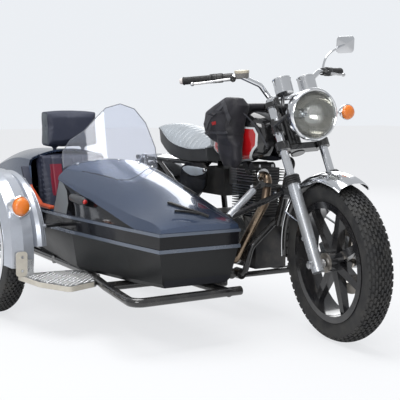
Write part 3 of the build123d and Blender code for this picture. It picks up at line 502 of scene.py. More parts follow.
silver_grey = finish("fork_silver", (0.50, 0.52, 0.55), (0.28, 0.27, 0.25), 0.5, 14, (0.26, 0.5), 600, 0.05,
                     Metallic=0.55, Coat_Weight=0.3, Coat_Roughness=0.15)
black_paint = finish("black_paint", (0.010, 0.010, 0.011), (0.07, 0.065, 0.058), 0.42, 15, (0.14, 0.5), 450,
                     0.04, Coat_Weight=0.7, Coat_Roughness=0.07)
dress(silver_grey, "fork_sliders")
dress(chrome, "fork_stanchions")
dress(black_paint, "fork_yokes")
soft_rubber = finish("soft_rubber", (0.012, 0.012, 0.013), (0.05, 0.048, 0.045), 0.5, 20, (0.5, 0.75), 420, 0.25)
BOOT = [(20, 0), (31.5, 1)]
for i in range(4):
    BOOT += [(33, 4 + 9 * i), (33, 7 + 9 * i), (29.6, 9.5 + 9 * i)]
BOOT += [(24, 39), (19, 41), (18, 43)]


def hexagon(name, centre, axis, across, height):
    # a nut or bolt head with chamfered corners
    corner = across * 0.577
    return lathe(name, [(0, 0), (across * 0.54, 0), (corner, height * 0.15), (corner, height * 0.85),
                        (across * 0.5, height), (0, height)], centre, axis, 6)


for side, hand in HANDS:
    on_fork(lathe(f"fork_boot_{hand}", BOOT, fork_point(341, side * LEG_Y), UP_FORK, 48),
            soft_rubber, "black_plastic")
    on_fork(hexagon(f"fork_cap_{hand}", fork_point(713, side * LEG_Y), UP_FORK, 26, 12), chrome, "chrome")
    on_fork(hexagon(f"front_axle_nut_{hand}", mm(1400, side * 124.9, 325), (0, side, 0), 27, 9),
            chrome, "chrome")

# Front mudguard.
# A short chrome-plated steel guard on loop stays, black inside, with a rolled bead along its edges.
GUARD_FROM, GUARD_TO, GUARD_STEPS, GUARD_HALF, GUARD_WALL = 65.0, 184.0, 72, 67, 2.2


def tube(name, points, radius, segments=10, smooth=True, closed=False):
    # a round bar along points, radius in mm, with closed ends
    curve = bpy.data.curves.new(name + "_line", "CURVE")
    curve.dimensions, curve.resolution_u = "3D", 8
    curve.bevel_depth, curve.bevel_resolution, curve.use_fill_caps = radius * MM, max(1, segments // 4), True
    spline = curve.splines.new("NURBS" if smooth else "POLY")
    spline.points.add(len(points) - 1)
    for point, p in zip(spline.points, points):
        point.co = (*p, 1)
    if smooth:
        spline.order_u, spline.use_endpoint_u = 3, not closed
    spline.use_cyclic_u = closed
    carrier = add_object(name + "_line", curve)
    mesh = baked(carrier)
    bpy.data.objects.remove(carrier)
    return tidy(add_object(name, mesh))


def on_arc(axle, radius, y, degrees):
    a = math.radians(degrees)
    return mm(axle[0] + radius * math.cos(a), y, axle[1] + radius * math.sin(a))


def arc_bead(name, axle, radius, y, first, last, steps, thick):
    # a rolled edge round an axle at (x, z)
    return tube(name, [on_arc(axle, radius, y, first + (last - first) * i / steps) for i in range(steps + 1)], thick)


FRONT_XZ = (1400, 325)
crown = [(325, -GUARD_HALF), (329, -GUARD_HALF)]
crown += [(329 + 32 * math.sin(math.pi * k / 18), -GUARD_HALF * math.cos(math.pi * k / 18)) for k in range(19)]
crown += [(329, GUARD_HALF), (325, GUARD_HALF)]
section = crown + [(r - GUARD_WALL, y * 0.975) for r, y in reversed(crown)]
guard = skin("front_guard", [
    [on_arc(FRONT_XZ, r, y, GUARD_FROM + (GUARD_TO - GUARD_FROM) * i / GUARD_STEPS) for r, y in section]
    for i in range(GUARD_STEPS + 1)], caps=True)
on_fork(guard, chrome, "chrome", "front_mudguard", crease=60)
guard.data.materials.append(black_paint)
for face in guard.data.polygons:
    outward = face.center - mm(*FRONT_AXLE)
    outward.y = 0
    if face.normal.dot(outward.normalized()) < -0.2:
        face.material_index = 1
for side, hand in HANDS:
    # loop stays from the slider to both ends of the guard
    for k, (start, degrees) in enumerate(((fork_point(330, side * 67), 92), (fork_point(132, side * 69.9), 148))):
        rim_end = on_arc(FRONT_XZ, 329, side * 67.5, degrees)
        middle = start.lerp(rim_end, 0.5) + Vector((0, side * 1.5 * MM, 0))
        on_fork(tube(f"guard_stay_{hand}_{k + 1}", [start, middle, rim_end], 4.6), chrome, "chrome")
for side, hand in HANDS:
    on_fork(arc_bead(f"guard_bead_{hand}", FRONT_XZ, 327, side * 67.66, GUARD_FROM, GUARD_TO, 24, 3.2),
            chrome, "chrome")

# Headlamp.
# A deep chrome bowl with a rolled ring holds a fluted glass over a silvered reflector and its bulb.
LAMP = fork_point(596, 0, 114)
LAMP_BACK = LAMP - Vector((78 * MM, 0, 0))
LENS_R, LENS_DOME, LENS_THICK, FLUTE, FLUTE_DEEP = 97, 11, 3.2, 11, 0.9
BOWL = [(0, 0), (30, 2), (60, 13), (84, 32), (97, 56), (101, 80), (101, 103), (106, 105), (108.5, 109),
        (108.5, 117), (106, 123), (101, 126.5), (97.5, 124), (97, 118), (94, 112), (92, 100), (78, 52),
        (52, 24), (24, 12), (0, 9)]
REFLECTOR = [(14, 22), (30, 30), (52, 46), (74, 70), (90, 98), (93, 112), (94.5, 112), (91, 98), (75, 69),
             (53, 44.5), (31, 28), (14, 20)]
BULB = [(0, 22), (13, 22), (13, 30), (7, 34), (8, 46), (6, 56), (0, 60)]
mirror_silver = finish("mirror_silver", (0.90, 0.91, 0.92), (0.7, 0.7, 0.7), 0.15, 20, (0.05, 0.12), 400,
                       0.004, Metallic=1.0)
dull_silver = finish("reflector_silver", (0.44, 0.43, 0.40), (0.33, 0.31, 0.26), 0.5, 20, (0.12, 0.22), 400,
                     0.01, Metallic=1.0)
clear_glass, tree, _ = plain("lamp_glass", Base_Color=(0.93, 0.95, 0.96, 1), Roughness=0.03, IOR=1.46,
                             Transmission_Weight=1.0)
emboss(tree, noise(tree, 90.0, Detail=2.0), 0.06, 0.0005)
on_fork(lathe("headlamp_bowl", BOWL, LAMP_BACK, (1, 0, 0)), chrome, "chrome", "headlamp_shell")
on_fork(lathe("headlamp_reflector", REFLECTOR, LAMP_BACK, (1, 0, 0), closed=True), dull_silver, "chrome")
on_fork(lathe("headlamp_bulb", BULB, LAMP_BACK, (1, 0, 0), 24), clear_glass, "lamp_glass")


def both_faces(rings):
    # (face, share of the radius): outwards over the front, then inwards over the back
    return [(0, i / rings) for i in range(rings + 1)] + [(1, i / rings) for i in range(rings, -1, -1)]


rows = []
for face, share in both_faces(30):
    # a domed disc with upright flutes pressed into its inner face
    row, r = [], LENS_R * share
    for k in range(96):
        y, z = r * math.cos(2 * math.pi * k / 96), r * math.sin(2 * math.pi * k / 96)
        deep = LENS_THICK + FLUTE_DEEP * (0.5 + 0.5 * math.cos(2 * math.pi * y / FLUTE))
        row.append(LAMP_BACK + Vector((119 + LENS_DOME * (1 - share ** 2) - face * deep, y, z)) * MM)
    rows.append(row)
on_fork(skin("headlamp_lens", rows), clear_glass, "lamp_glass", "headlamp_glass")

# Instruments.
# Two chrome cups hold the speedometer and the rev counter. Their dark dials face the rider, under
# glass, with white ticks and a pointer.
BAR_MID = fork_point(742, 0, -30)
CUP_LEAN = Vector((-24, 0, 56)).normalized()
CUP_RING = [(33, 0.2), (39, 0.2), (40, 2), (39.5, 5), (36, 6.5), (33, 5)]
dress(chrome, "instruments")
dial_black = finish("dial_black", (0.01, 0.01, 0.012), (0.02, 0.02, 0.02), 0.3, 30, (0.4, 0.6), 300, 0.05)
dial_white = finish("dial_white", (0.82, 0.82, 0.78), (0.7, 0.7, 0.66), 0.3, 30, (0.5, 0.6), 300, 0.05)
across = CUP_LEAN.orthogonal().normalized()
other = CUP_LEAN.cross(across)
for side, name in ((-1, "rev_counter"), (1, "speedometer")):
    top = BAR_MID + Vector((81, 58 * side, 78)) * MM
    on_fork(lathe(name + "_ring", CUP_RING, top, CUP_LEAN, 64, True), chrome, "chrome")
    for kind, first, last, material, slot in (("dial", 0.4, 1.6, dial_black, "black_plastic"),
                                              ("glass", 3.6, 5, clear_glass, "lamp_glass")):
        on_fork(lathe(f"{name}_{kind}", [(0, first), (33, first), (33, last), (0, last)], top, CUP_LEAN, 48),
                material, slot)
    # marks as (degrees, from, to, half width, half width at the end, height over the cup)
    marks = [(-45 + 270 * k / 22, 26 if k % 2 else 23, 30, 0.5 if k % 2 else 0.9, 1.0, 1.75) for k in range(23)]
    points = []
    for degrees, first, last, half, taper, lift in marks + [(-45, -5, 24, 1.1, 0.3, 2.4)]:
        a = math.radians(degrees)
        away = across * math.cos(a) + other * math.sin(a)
        wide, base = CUP_LEAN.cross(away) * half * MM, top + CUP_LEAN * lift * MM
        near, far = base + away * (first * MM), base + away * (last * MM)
        points += [near - wide, far - wide * taper, far + wide * taper, near + wide]
    figures = mesh_object(name + "_marks", points, [tuple(range(n, n + 4)) for n in range(0, len(points), 4)])
    on_fork(figures, dial_white, "black_plastic")

# Handlebar and its controls.
# A chrome bar bent up and back carries rubber grips with white end plugs, switch clusters, polished
# levers with ball ends, the brake reservoir on the right and one mirror on a bent stalk on the left.
BAR_END, BAR_BEND = [BAR_MID + Vector(p) * MM for p in ((-168, 386, 93), (-28, 190, 102))]
GRIP, SWITCH, PERCH, BAR_R = 118, 166, 194, 11.2
dress(chrome, "handlebar")


def along_bar(t, side, shift=(0, 0, 0)):
    # mm inwards from the end of the bar, on the left (1) or right (-1)
    p = BAR_END + (BAR_BEND - BAR_END).normalized() * t * MM
    return Vector((p.x, BAR_MID.y + side * (p.y - BAR_MID.y), p.z)) + Vector(shift) * MM


def turned(name, profile, first, last):
    # turns (share of the length, radius in mm) round the line from first to last
    line = last - first
    return lathe(name, [(r, t * line.length / MM) for t, r in profile], first, line, 32)


polished = finish("polished_alloy", (0.66, 0.66, 0.67), (0.42, 0.41, 0.39), 0.4, 26, (0.14, 0.32), 500, 0.04,
                  Metallic=1.0)
black_plastic = finish("black_plastic", (0.014, 0.014, 0.015), (0.06, 0.056, 0.05), 0.35, 18, (0.36, 0.6), 600, 0.15)
cream = finish("cream_plastic", (0.62, 0.56, 0.44), (0.42, 0.38, 0.30), 0.5, 18, (0.35, 0.55), 400, 0.08)
white_plug = finish("white_plug", (0.74, 0.72, 0.70), (0.5, 0.2, 0.16), 0.4, 60, (0.3, 0.5), 400, 0.05)
RIBS = [(0.0, BAR_R), (0.0, 15.5), (0.02, 17.5), (0.05, 17.5), (0.06, 15.6)]
for k in range(22):
    t = 0.08 + 0.038 * k
    RIBS += [(t, 15.2), (t + 0.008, 16.2), (t + 0.024, 16.2), (t + 0.032, 15.2)]
RIBS += [(0.93, 15.6), (0.94, 19.5), (1.0, 19.5), (1.0, BAR_R)]
PLUG = [(0, 0), (0.1, 9), (0.4, 12.5), (0.9, 13), (1, 11), (1, 0)]
CLUSTER = [(0, BAR_R), (0, 18), (0.08, 20), (0.44, 20), (0.47, 18.6), (0.5, 18.6), (0.53, 20), (0.92, 20),
           (1, 18), (1, BAR_R)]
CLAMP = [(0, BAR_R), (0, 15), (0.1, 16.5), (0.9, 16.5), (1, 15), (1, BAR_R)]
NECK = [(0, 11), (0.3, 9.5), (0.75, 9), (0.85, 12), (1.12, 12), (1.12, 0)]
BALL = [(9 * math.sin(math.pi * k / 10), -9 * math.cos(math.pi * k / 10)) for k in range(11)]
for side, hand in HANDS:
    lever_pivot = along_bar(PERCH, side, (36, side * 4, -8))
    grip = turned(f"{hand}_grip", RIBS, along_bar(-6, side), along_bar(GRIP, side))
    on_fork(grip, soft_rubber, "black_plastic")
    on_fork(turned(f"{hand}_bar_end", PLUG, along_bar(-22, side), along_bar(-6.3, side)),
            white_plug, "black_plastic")
    for name, profile, first, last in (
            ("switch_cluster", CLUSTER, along_bar(GRIP + 1, side), along_bar(SWITCH, side)),
            ("lever_perch", CLAMP, along_bar(SWITCH + 0.5, side), along_bar(PERCH + 14, side)),
            ("lever_bracket", NECK, along_bar(PERCH, side), lever_pivot)):
        on_fork(turned(f"{hand}_{name}", profile, first, last), black_plastic, "black_plastic")
    tip = along_bar(8, side, (46, -side * 6, -14))
    bend = lever_pivot.lerp(tip, 0.28) + Vector((9, 0, 2)) * MM
    hollow = lever_pivot.lerp(tip, 0.62) + Vector((-3, 0, -2)) * MM
    on_fork(tube(f"{hand}_lever", [lever_pivot, bend, hollow, tip], 5.2, 12), polished, "chrome")
    on_fork(lathe(f"{hand}_lever_ball", BALL, tip, segments=24), polished, "chrome")
    if side < 0:
        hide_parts("handlebar_controls")
reservoir_grey = finish("reservoir_grey", (0.20, 0.19, 0.18), (0.12, 0.11, 0.10), 0.4, 30, (0.35, 0.5), 400, 0.06)
for name, profile, material in (
        ("brake_reservoir", [(0, 0), (25, 0), (28.5, 3), (29.5, 20), (0, 20)], reservoir_grey),
        ("brake_reservoir_lid", [(0, 20.3), (30, 20.3), (31, 22), (31, 31), (29, 33), (8, 34), (0, 34)], cream)):
    on_fork(lathe(name, profile, along_bar(PERCH, -1, (54, 30, -6)), (0, 0, 1), 48), material, "black_plastic")
MIRROR = along_bar(PERCH, 1, (-18, 132, 112))
stalk = [along_bar(PERCH, 1, p) for p in ((0, 0, 12), (4, 4, 48), (2, 40, 84), (-4, 90, 100), (-8, 122, 110))]
on_fork(tube("mirror_stalk", stalk, 4.8, 12), chrome, "chrome")


def rounded_panel(name, centre, turn_to, size, corner, thick, dome=0.0):
    # a plate with round corners and a domed back, in mm; size is (across, up)
    outline, rows = [], []
    for cx, cy, start in ((1, 1, 0), (-1, 1, 90), (-1, -1, 180), (1, -1, 270)):
        for k in range(9):
            a = math.radians(start + 90 * k / 8)
            outline.append((cx * (size[0] / 2 - corner) + corner * math.cos(a),
                            cy * (size[1] / 2 - corner) + corner * math.sin(a)))
    for face, share in both_faces(6):
        lift = face * (thick + dome * (1 - share ** 2))
        rows.append([centre + turn_to @ Vector((lift, y * share, z * share)) * MM for y, z in outline])
    return skin(name, rows)


mirror_turn = Matrix.Rotation(math.radians(4), 3, "Z") @ Matrix.Rotation(math.radians(8), 3, "Y")
for name, ahead, size, corner, thick, dome, material in (
        ("mirror_shell", -3, (94, 74), 16, 5, 6, chrome), ("mirror_glass", -5.5, (88, 68), 13, 2, 0, mirror_silver)):
    centre = MIRROR + mirror_turn @ Vector((ahead * MM, 0, 0))
    on_fork(rounded_panel(name, centre, mirror_turn, size, corner, thick, dome), material, "chrome")

# Front indicator.
# One round amber lamp on a chrome stalk stands out to the left of the headlamp; the right one is gone.


def ribbed_lens(name, scale, direction, **shader):
    made, tree, surface = plain(name, Coat_Weight=0.8, **shader)
    wave = shade(tree, "TexWave", {"Vector": object_place(tree), "Scale": scale}, 1, bands_direction=direction)
    emboss(tree, wave, 0.5, 0.0008)
    return made, tree, surface


amber, tree, surface = ribbed_lens("amber_lens", 90.0, "Z", Roughness=0.12)
warm = shade(tree, "Mix", {"Factor": noise(tree, 60.0), 6: (0.95, 0.27, 0.02, 1), 7: (0.80, 0.16, 0.01, 1)}, 2,
             data_type="RGBA")
tree.links.new(warm, surface["Base Color"])
spot = LAMP + Vector((-40, 204, -6)) * MM
CASING = [(0, -28), (12, -27), (26, -18), (32, -2), (33, 6), (33.5, 12), (31, 14), (28, 12), (0, 12)]
GLOBE = [(0, 12.5), (30, 12.5), (30.5, 16), (28, 22), (20, 27.5), (10, 30), (0, 30.5)]
on_fork(lathe("front_indicator_casing", CASING, spot, (1, 0, 0), 64), chrome, "chrome", "front_indicator")
on_fork(lathe("front_indicator_lens", GLOBE, spot, (1, 0, 0), 64), amber, "amber")
on_fork(tube("front_indicator_stalk", [spot - Vector((0, y, 0)) * MM for y in (100, 60, 20)], 6, 12),
        chrome, "chrome")

# Fuel tank.
# A gloss black steel tank carries a red side panel edged in white on each side and a chrome filler
# cap. The panel is left plain.


def inwards(corners):
    # each edge of a convex outline, as a point on it and the way in
    middle = Vector((sum(x for x, _ in corners), sum(z for _, z in corners))) / len(corners)
    for first, last in zip(corners, corners[1:] + corners[:1]):
        way = Vector((first[1] - last[1], last[0] - first[0])).normalized()
        if way.dot(middle - Vector(first)) < 0:
            way.negate()
        yield Vector(first), way


def outline_mask(tree, corners, grow=0.0):
    # 1 inside a convex outline of (x, z), seen from the side
    mask = None
    for point, way in inwards(corners):
        edge = point - way * grow
        inside = cut_mask(tree, (edge.x, 0, edge.y), (way.x, 0, way.y))
        mask = inside if mask is None else calc(tree, "MULTIPLY", mask, inside)
    return mask


tank_black = finish("tank_black", (0.009, 0.009, 0.011), (0.035, 0.033, 0.03), 0.35, 10, (0.08, 0.3), 500,
                    0.02, Coat_Weight=1.0, Coat_Roughness=0.04)
PANEL = [(955, 843), (967, 815), (965, 764), (919, 699), (860, 692), (725, 700), (684, 740), (704, 802),
         (880, 846)]
tree = tank_black.node_tree
on_sides = sides_mask(tree, 84)
for grow, colour, rough in ((0, (0.82, 0.83, 0.85), 0.25), (-8, (0.55, 0.010, 0.014), 0.18)):
    repaint(tank_black, calc(tree, "MULTIPLY", on_sides, outline_mask(tree, PANEL, grow)), colour, rough)
repaint(tank_black, polar_mask(tree, (800, 0, 0), (0, 0, 1), 35, 921), (0.8, 0.81, 0.82), 0.1, 1.0)
dress(tank_black, "fuel_tank")

# Tank bag.
# Black nylon bag strapped over the tank, its long pocket hanging down the right side. It is full
# at the top and slack below, with a bound rim, webbing straps and a red tag.


def on_outfit(made, material, slot, *nodes, crease=35.0):
    return settle(made, "outfit", material, slot, nodes, crease)


def surface_of(made):
    return BVHTree.FromPolygons([v.co.copy() for v in made.data.vertices],
                                [list(p.vertices) for p in made.data.polygons])


def outfit_mm(p):
    # from the scene back to mm
    return (p - REAR_AXLE + Vector((0, 0, REAR_RADIUS))) / MM


def laid_strap(name, stops, wide, thick, surface, lift=0.0, step=6.0, reach=40.0):
    # a flat band over a surface through stops; it stands lift above what lies under it
    line, places, rows = [], [], []
    for first, last in zip(stops, stops[1:]):
        first, last = Vector(first), Vector(last)
        count = max(1, round((last - first).length / step))
        line += [first.lerp(last, k / count) for k in range(count)]
    for p in line + [Vector(stops[-1])]:
        found, away, _, _ = surface.find_nearest(mm(*p), reach * MM)
        places.append((mm(*p), Vector((0, -1, 0))) if found is None else (found, away))
    for k, (spot, _) in enumerate(places):
        ahead = (places[min(k + 1, len(places) - 1)][0] - places[max(k - 1, 0)][0]).normalized()
        away = sum((n for _, n in places[max(0, k - 2):k + 3]), Vector()).normalized()
        side = ahead.cross(away).normalized() * (wide / 2 * MM)
        base, top = spot + away * lift * MM, spot + away * (lift + thick) * MM
        rows.append([base - side, top - side * 0.94, top + side * 0.94, base + side])
    return skin(name, rows, caps=True)


def stuffed(name, node, voxel, swell, cap, held):
    # a copy of a plain solid, remeshed and filled by a cloth run; held(point) pins what rests
    made = tidy(add_object(name, frame["nodes"][node].data.copy()))
    remesh = made.modifiers.new("remesh", "REMESH")
    remesh.mode, remesh.voxel_size = "VOXEL", voxel * MM
    made.data = baked(made)
    made.modifiers.clear()
    before = [v.co.copy() for v in made.data.vertices]
    pins = made.vertex_groups.new(name="held")
    pins.add([i for i, p in enumerate(before) if held(p)], 1.0, "REPLACE")
    cloth = made.modifiers.new("cloth", "CLOTH")
    cloth.settings.vertex_group_mass = "held"
    cloth.settings.use_pressure = True
    cloth.settings.uniform_pressure_force = swell
    cloth.settings.effector_weights.gravity = 0.0
    cloth.settings.tension_stiffness = cloth.settings.compression_stiffness = 8.0
    cloth.settings.bending_stiffness = 2.0
    cloth.settings.quality = 4
    cloth.collision_settings.use_collision = False
    cloth.point_cache.frame_start, cloth.point_cache.frame_end = 1, 20
    for number in range(1, 21):
        bpy.context.scene.frame_set(number)
    filled = baked(made)
    made.modifiers.clear()
    made.vertex_groups.clear()
    bpy.context.scene.frame_set(1)
    made.data = filled
    for vertex, old in zip(filled.vertices, before):
        shift = vertex.co - old
        if shift.length > cap * MM:
            shift *= cap * MM / shift.length
        vertex.co = old + shift
    return made


def finer(made):
    # one subdivision, kept in the mesh
    change = made.modifiers.new("smooth", "SUBSURF")
    change.levels = change.render_levels = 1
    made.data = baked(made)
    made.modifiers.clear()
    return made


def pressed(made, shift):
    # moves each vertex by shift(its place in the scene, the same in mm, its normal), in mm
    normals = [v.normal.copy() for v in made.data.vertices]
    for vertex, normal in zip(made.data.vertices, normals):
        vertex.co += shift(vertex.co, outfit_mm(vertex.co), normal) * MM


nylon = finish("bag_nylon", (0.008, 0.007, 0.011), (0.026, 0.023, 0.033), 0.6, 14, (0.45, 0.72), 900, 0.3,
               Sheen_Weight=0.06)
webbing = finish("webbing", (0.040, 0.040, 0.047), (0.075, 0.075, 0.085), 0.5, 40, (0.35, 0.6), 1200, 0.4)
red_cloth = finish("red_tag", (0.42, 0.012, 0.012), (0.25, 0.02, 0.02), 0.4, 60, (0.5, 0.7), 900, 0.3)
tank_surface = surface_of(frame["nodes"]["fuel_tank"])


def on_tank(p):
    return tank_surface.find_nearest(p, 9 * MM)[0] is not None


def bag_folds(spot, p, normal):
    # slack folds across the hanging pocket, and a shallow crease under the rim
    if on_tank(spot):
        return Vector()
    fold = 2.2 * math.sin(p.z * 0.055 + p.x * 0.028) + 1.2 * math.sin(p.z * 0.021 - p.x * 0.061)
    return normal * (fold - 3.0 * math.exp(-((p.z - 802 - 0.05 * (p.x - 820)) / 7) ** 2))


bag = stuffed("tank_bag_body", "tank_bag", 5.5, 3.0, 9, on_tank)
pressed(bag, bag_folds)
on_outfit(finer(bag), nylon, "bag_cloth", "tank_bag", crease=60)
bag_surface = surface_of(bag)
for name, stops, wide, thick in (
        ("bag_strap_rear", [(742, -222, 830), (770, -246, 862), (812, -252, 902), (872, -240, 944)], 20, 2.4),
        ("bag_strap_front", [(955, -236, 862), (925, -246, 896), (884, -240, 942), (852, -212, 962)], 20, 2.4),
        ("bag_rim", [(716, -214, 806), (760, -236, 806), (820, -246, 808), (880, -250, 812), (938, -236, 818)],
         9, 4.0),
        ("bag_zip", [(742, -236, 856), (780, -256, 884), (830, -262, 902), (880, -256, 912)], 12, 2.8),
        ("bag_hem", [(800, -186, 672), (830, -204, 700), (818, -214, 760)], 8, 3.0)):
    on_outfit(laid_strap(name, stops, wide, thick, bag_surface, -0.4), webbing, "bag_cloth")
on_outfit(laid_strap("bag_tag", [(812, -262, 850), (840, -262, 862)], 15, 2.2, bag_surface, -0.2),
          red_cloth, "bag_cloth")

# Tank strap.
# A thin webbing strap runs from the bag down ahead of the tank.
strap_line = [(930, -196, 932), (962, -150, 890), (984, -122, 852), (1010, -108, 812), (1048, -104, 764)]
on_outfit(skin("tank_strap", [[mm(x + w * 0.8, y + w * 0.3, z + h) for w, h in ((-5, 0), (5, 0), (5, 2.2), (-5, 2.2))]
                              for x, y, z in strap_line], caps=True), webbing, "bag_cloth")

# Seat.
# A long two-level saddle: silver grey vinyl on top, sewn in ribs across it, a bright piping along
# the edge and a plain dark skirt below that rests on the frame.
SEAT_ROWS = [(44, 806), (100, 814), (180, 806), (260, 770), (340, 746), (430, 732), (520, 730), (590, 738)]
RIB, RIB_DEEP = 34.0, 3.4


def piping_z(x):
    if x <= SEAT_ROWS[0][0]:
        return SEAT_ROWS[0][1]
    for (xa, za), (xb, zb) in zip(SEAT_ROWS, SEAT_ROWS[1:]):
        if x <= xb:
            return za + (zb - za) * (x - xa) / (xb - xa)
    return SEAT_ROWS[-1][1]


def seat_ribs(spot, p, normal):
    above = p.z - piping_z(p.x)
    if above <= 2 or normal.z <= 0.1:
        return Vector()
    wave = abs(math.sin(math.pi * (p.x - 12 * (abs(p.y) / 100) ** 2) / RIB))
    return normal * (-RIB_DEEP * (1 - wave ** 0.55) * min(1.0, above / 12))


vinyl = finish("seat_vinyl", (0.34, 0.37, 0.40), (0.20, 0.215, 0.225), 0.45, 9, (0.30, 0.5), 800, 0.2,
               Coat_Weight=0.2, Coat_Roughness=0.3)
skirt = finish("seat_skirt", (0.055, 0.058, 0.062), (0.09, 0.09, 0.09), 0.5, 10, (0.42, 0.62), 800, 0.25)
seat = finer(stuffed("seat_cover", "bike_seat", 5.0, 2.5, 5,
                     lambda p: outfit_mm(p).z < piping_z(outfit_mm(p).x) + 2))
pressed(seat, seat_ribs)
on_outfit(seat, vinyl, "seat_vinyl", "bike_seat", crease=60)
seat.data.materials.append(skirt)
for face in seat.data.polygons:
    p = outfit_mm(face.center)
    face.material_index = 1 if p.z < piping_z(p.x) else 0
seat_surface = surface_of(seat)
for side, hand in HANDS:
    stops = [seat_surface.find_nearest(mm(x, side * 150, piping_z(x)))[0] + Vector((0, side * 0.8 * MM, 0))
             for x in (46 + 540 * k / 26 for k in range(27))]
    on_outfit(tube(f"seat_piping_{hand}", stops, 3.0), vinyl, "seat_vinyl")

# Engine.
# A single upright cylinder: satin black castings with the fin edges left bright at the sides; along
# the front the fin edges stay black as painted shade. Polished covers on both sides of the crankcase,
# and rings of cover screws.
SCREW_RINGS = [((800, 350), 108, 104, 9), ((640, 345), 82, 100, 7)]
CLEAR_OF_RING = 122
PLUG_CAP = [(0, 0), (11, 0), (11, 22), (8, 28), (8, 44), (5, 50), (0, 50)]
case_black = finish("engine_black", (0.022, 0.022, 0.024), (0.10, 0.09, 0.078), 0.55, 14, (0.38, 0.66), 260, 0.35)
repaint(case_black, sides_mask(case_black.node_tree, 85), (0.50, 0.50, 0.49), 0.27, 1.0)
dress(case_black, "engine_crankcase")
for node, fin_tip in (("engine_cylinder", 73), ("cylinder_head", 77)):
    fin_black_and_shade = finish(node + "_black", (0.028, 0.028, 0.03), (0.11, 0.10, 0.09), 0.55, 16, (0.4, 0.7), 260, 0.4)
    # fin edges are bright only further out than fin_tip at the sides; the front fin edges stay black as painted shade
    repaint(fin_black_and_shade, sides_mask(fin_black_and_shade.node_tree, fin_tip), (0.60, 0.60, 0.59), 0.3, 1.0)
    dress(fin_black_and_shade, node)
carb = finish("carburettor_black", (0.02, 0.02, 0.021), (0.07, 0.065, 0.06), 0.5, 18, (0.4, 0.65), 500, 0.2)
repaint(carb, box_mask(carb.node_tree, (676, -60, 500), (745, 60, 680)), (0.52, 0.52, 0.51), 0.34, 1.0)
dress(carb, "carburettor_and_airbox")
studs, peg = new_group(
    "studs", "Geometry", {"Geometry": "Geometry", "Way": (0, 0, 1), "Radius": 0.005, "Height": 0.004, "Sides": 6,
                          "Material": "Material"}, {"Geometry": "Geometry"})
post = geo(studs, "MeshCone", {"Vertices": peg["Sides"], "Radius Bottom": peg["Radius"],
                               "Radius Top": calc(studs, "MULTIPLY", peg["Radius"], 0.86), "Depth": peg["Height"]})
strewn(studs, peg["Geometry"], post, peg["Material"], Rotation=facing(studs, {"Vector": peg["Way"]}, axis="Z"))


def bolts(name, places, way, radius, height, material=chrome, slot="chrome", sides=6):
    # one head at each place, standing along way
    made = from_tree(name, studs, {"Way": way, "Radius": radius * MM, "Height": height * MM, "Sides": sides,
                                   "Material": material},
                     mesh_object(name + "_places", [mm(*p) for p in places], []))
    return on_outfit(made, material, slot)


for side, hand in HANDS:
    places = []
    for centre, ring, face_y, count in SCREW_RINGS:
        for k in range(count):
            a = 2 * math.pi * (k + 0.5) / count
            x, z = centre[0] + ring * math.cos(a), centre[1] + ring * math.sin(a)
            if all(math.hypot(x - c[0], z - c[1]) > CLEAR_OF_RING for c, *_ in SCREW_RINGS if c != centre):
                places.append((x, side * (face_y + 1.5), z))
    bolts(f"cover_screws_{hand}", places, (0, side, 0), 4.6, 4.0, polished, "engine_alloy", 16)
bolts("head_nuts", [(850 + x, y, 666.5) for x in (-52, 52) for y in (-34, 34)], (0, 0, 1), 8, 12,
      polished, "engine_alloy")
on_outfit(lathe("spark_plug_cap", PLUG_CAP, mm(902, -84, 640), (0.45, -0.8, 0.4), 24),
          black_plastic, "black_plastic")

# Exhaust.
# The header curls down from the head, browned by heat; the silencer behind it is plain chrome.
FLANGE = [(19.4, 0), (31, 0), (32, 2), (32, 7), (30, 9), (19.4, 9)]
header = finish("exhaust_header", (0.30, 0.23, 0.165), (0.11, 0.075, 0.055), 0.75, 9, (0.22, 0.48), 400, 0.08,
                Metallic=1.0)
repaint(header, cut_mask(header.node_tree, (452, 0, 0), (-1, 0, 0)), (0.78, 0.79, 0.81), 0.09, 1.0)
dress(header, "exhaust")
on_outfit(lathe("exhaust_flange", FLANGE, mm(934, -42, 634), (1, 0, 0), 48, True), polished, "engine_alloy")
bolts("exhaust_nuts", [(947, -42 + y, 634) for y in (-26, 26)], (1, 0, 0), 5, 9)

# Frame.
# Gloss black tubes: one front tube, the cradle rails and the seat rails, with the swinging arm.
dress(black_paint, "main_frame", "swingarm")
bolts("pivot_nuts", [(390, -133, 338)], (0, -1, 0), 13, 10)
bolts("rear_axle_nuts", [(0, 126, 320)], (0, 1, 0), 13, 10)

# Side covers.
# Black three-cornered covers under the seat, each with a long silver leaf and its round knob.
LEAF = [(432, 634), (448, 643), (480, 648), (560, 647), (630, 643), (640, 638), (634, 630), (600, 616),
        (550, 606), (505, 606), (470, 614), (446, 624)]
KNOB = [(0, 0), (10, 0), (11, 2), (11, 6), (8, 9), (0, 10)]
dress(black_paint, "side_covers")
leaf_silver = finish("leaf_silver", (0.46, 0.51, 0.57), (0.30, 0.32, 0.34), 0.4, 14, (0.3, 0.5), 600, 0.04)
middle = Vector((sum(x for x, _ in LEAF), sum(z for _, z in LEAF))) / len(LEAF)
for side, hand in HANDS:
    rows = []
    for y, inset in ((136.5, 0.0), (139, 0.0), (141.1, 0.9), (142, 3)):
        drawn = [Vector(p) + (middle - Vector(p)).normalized() * inset for p in LEAF]
        rows.append([mm(p.x, side * y, p.y) for p in drawn])
    on_outfit(skin(f"cover_leaf_{hand}", rows, caps=True), leaf_silver, "guard_silver")
    on_outfit(lathe(f"cover_knob_{hand}", KNOB, mm(628, side * 141, 637), (0, side, 0), 32), polished, "chrome")

# Rear shock absorbers.
# Chrome springs, one unit on each side, with nuts at their eyes.
dress(chrome, "rear_shocks")
for side, hand in HANDS:
    bolts(f"shock_nuts_{hand}", [(95, side * 172, 668), (30, side * 172, 345)], (0, side, 0), 11, 9)

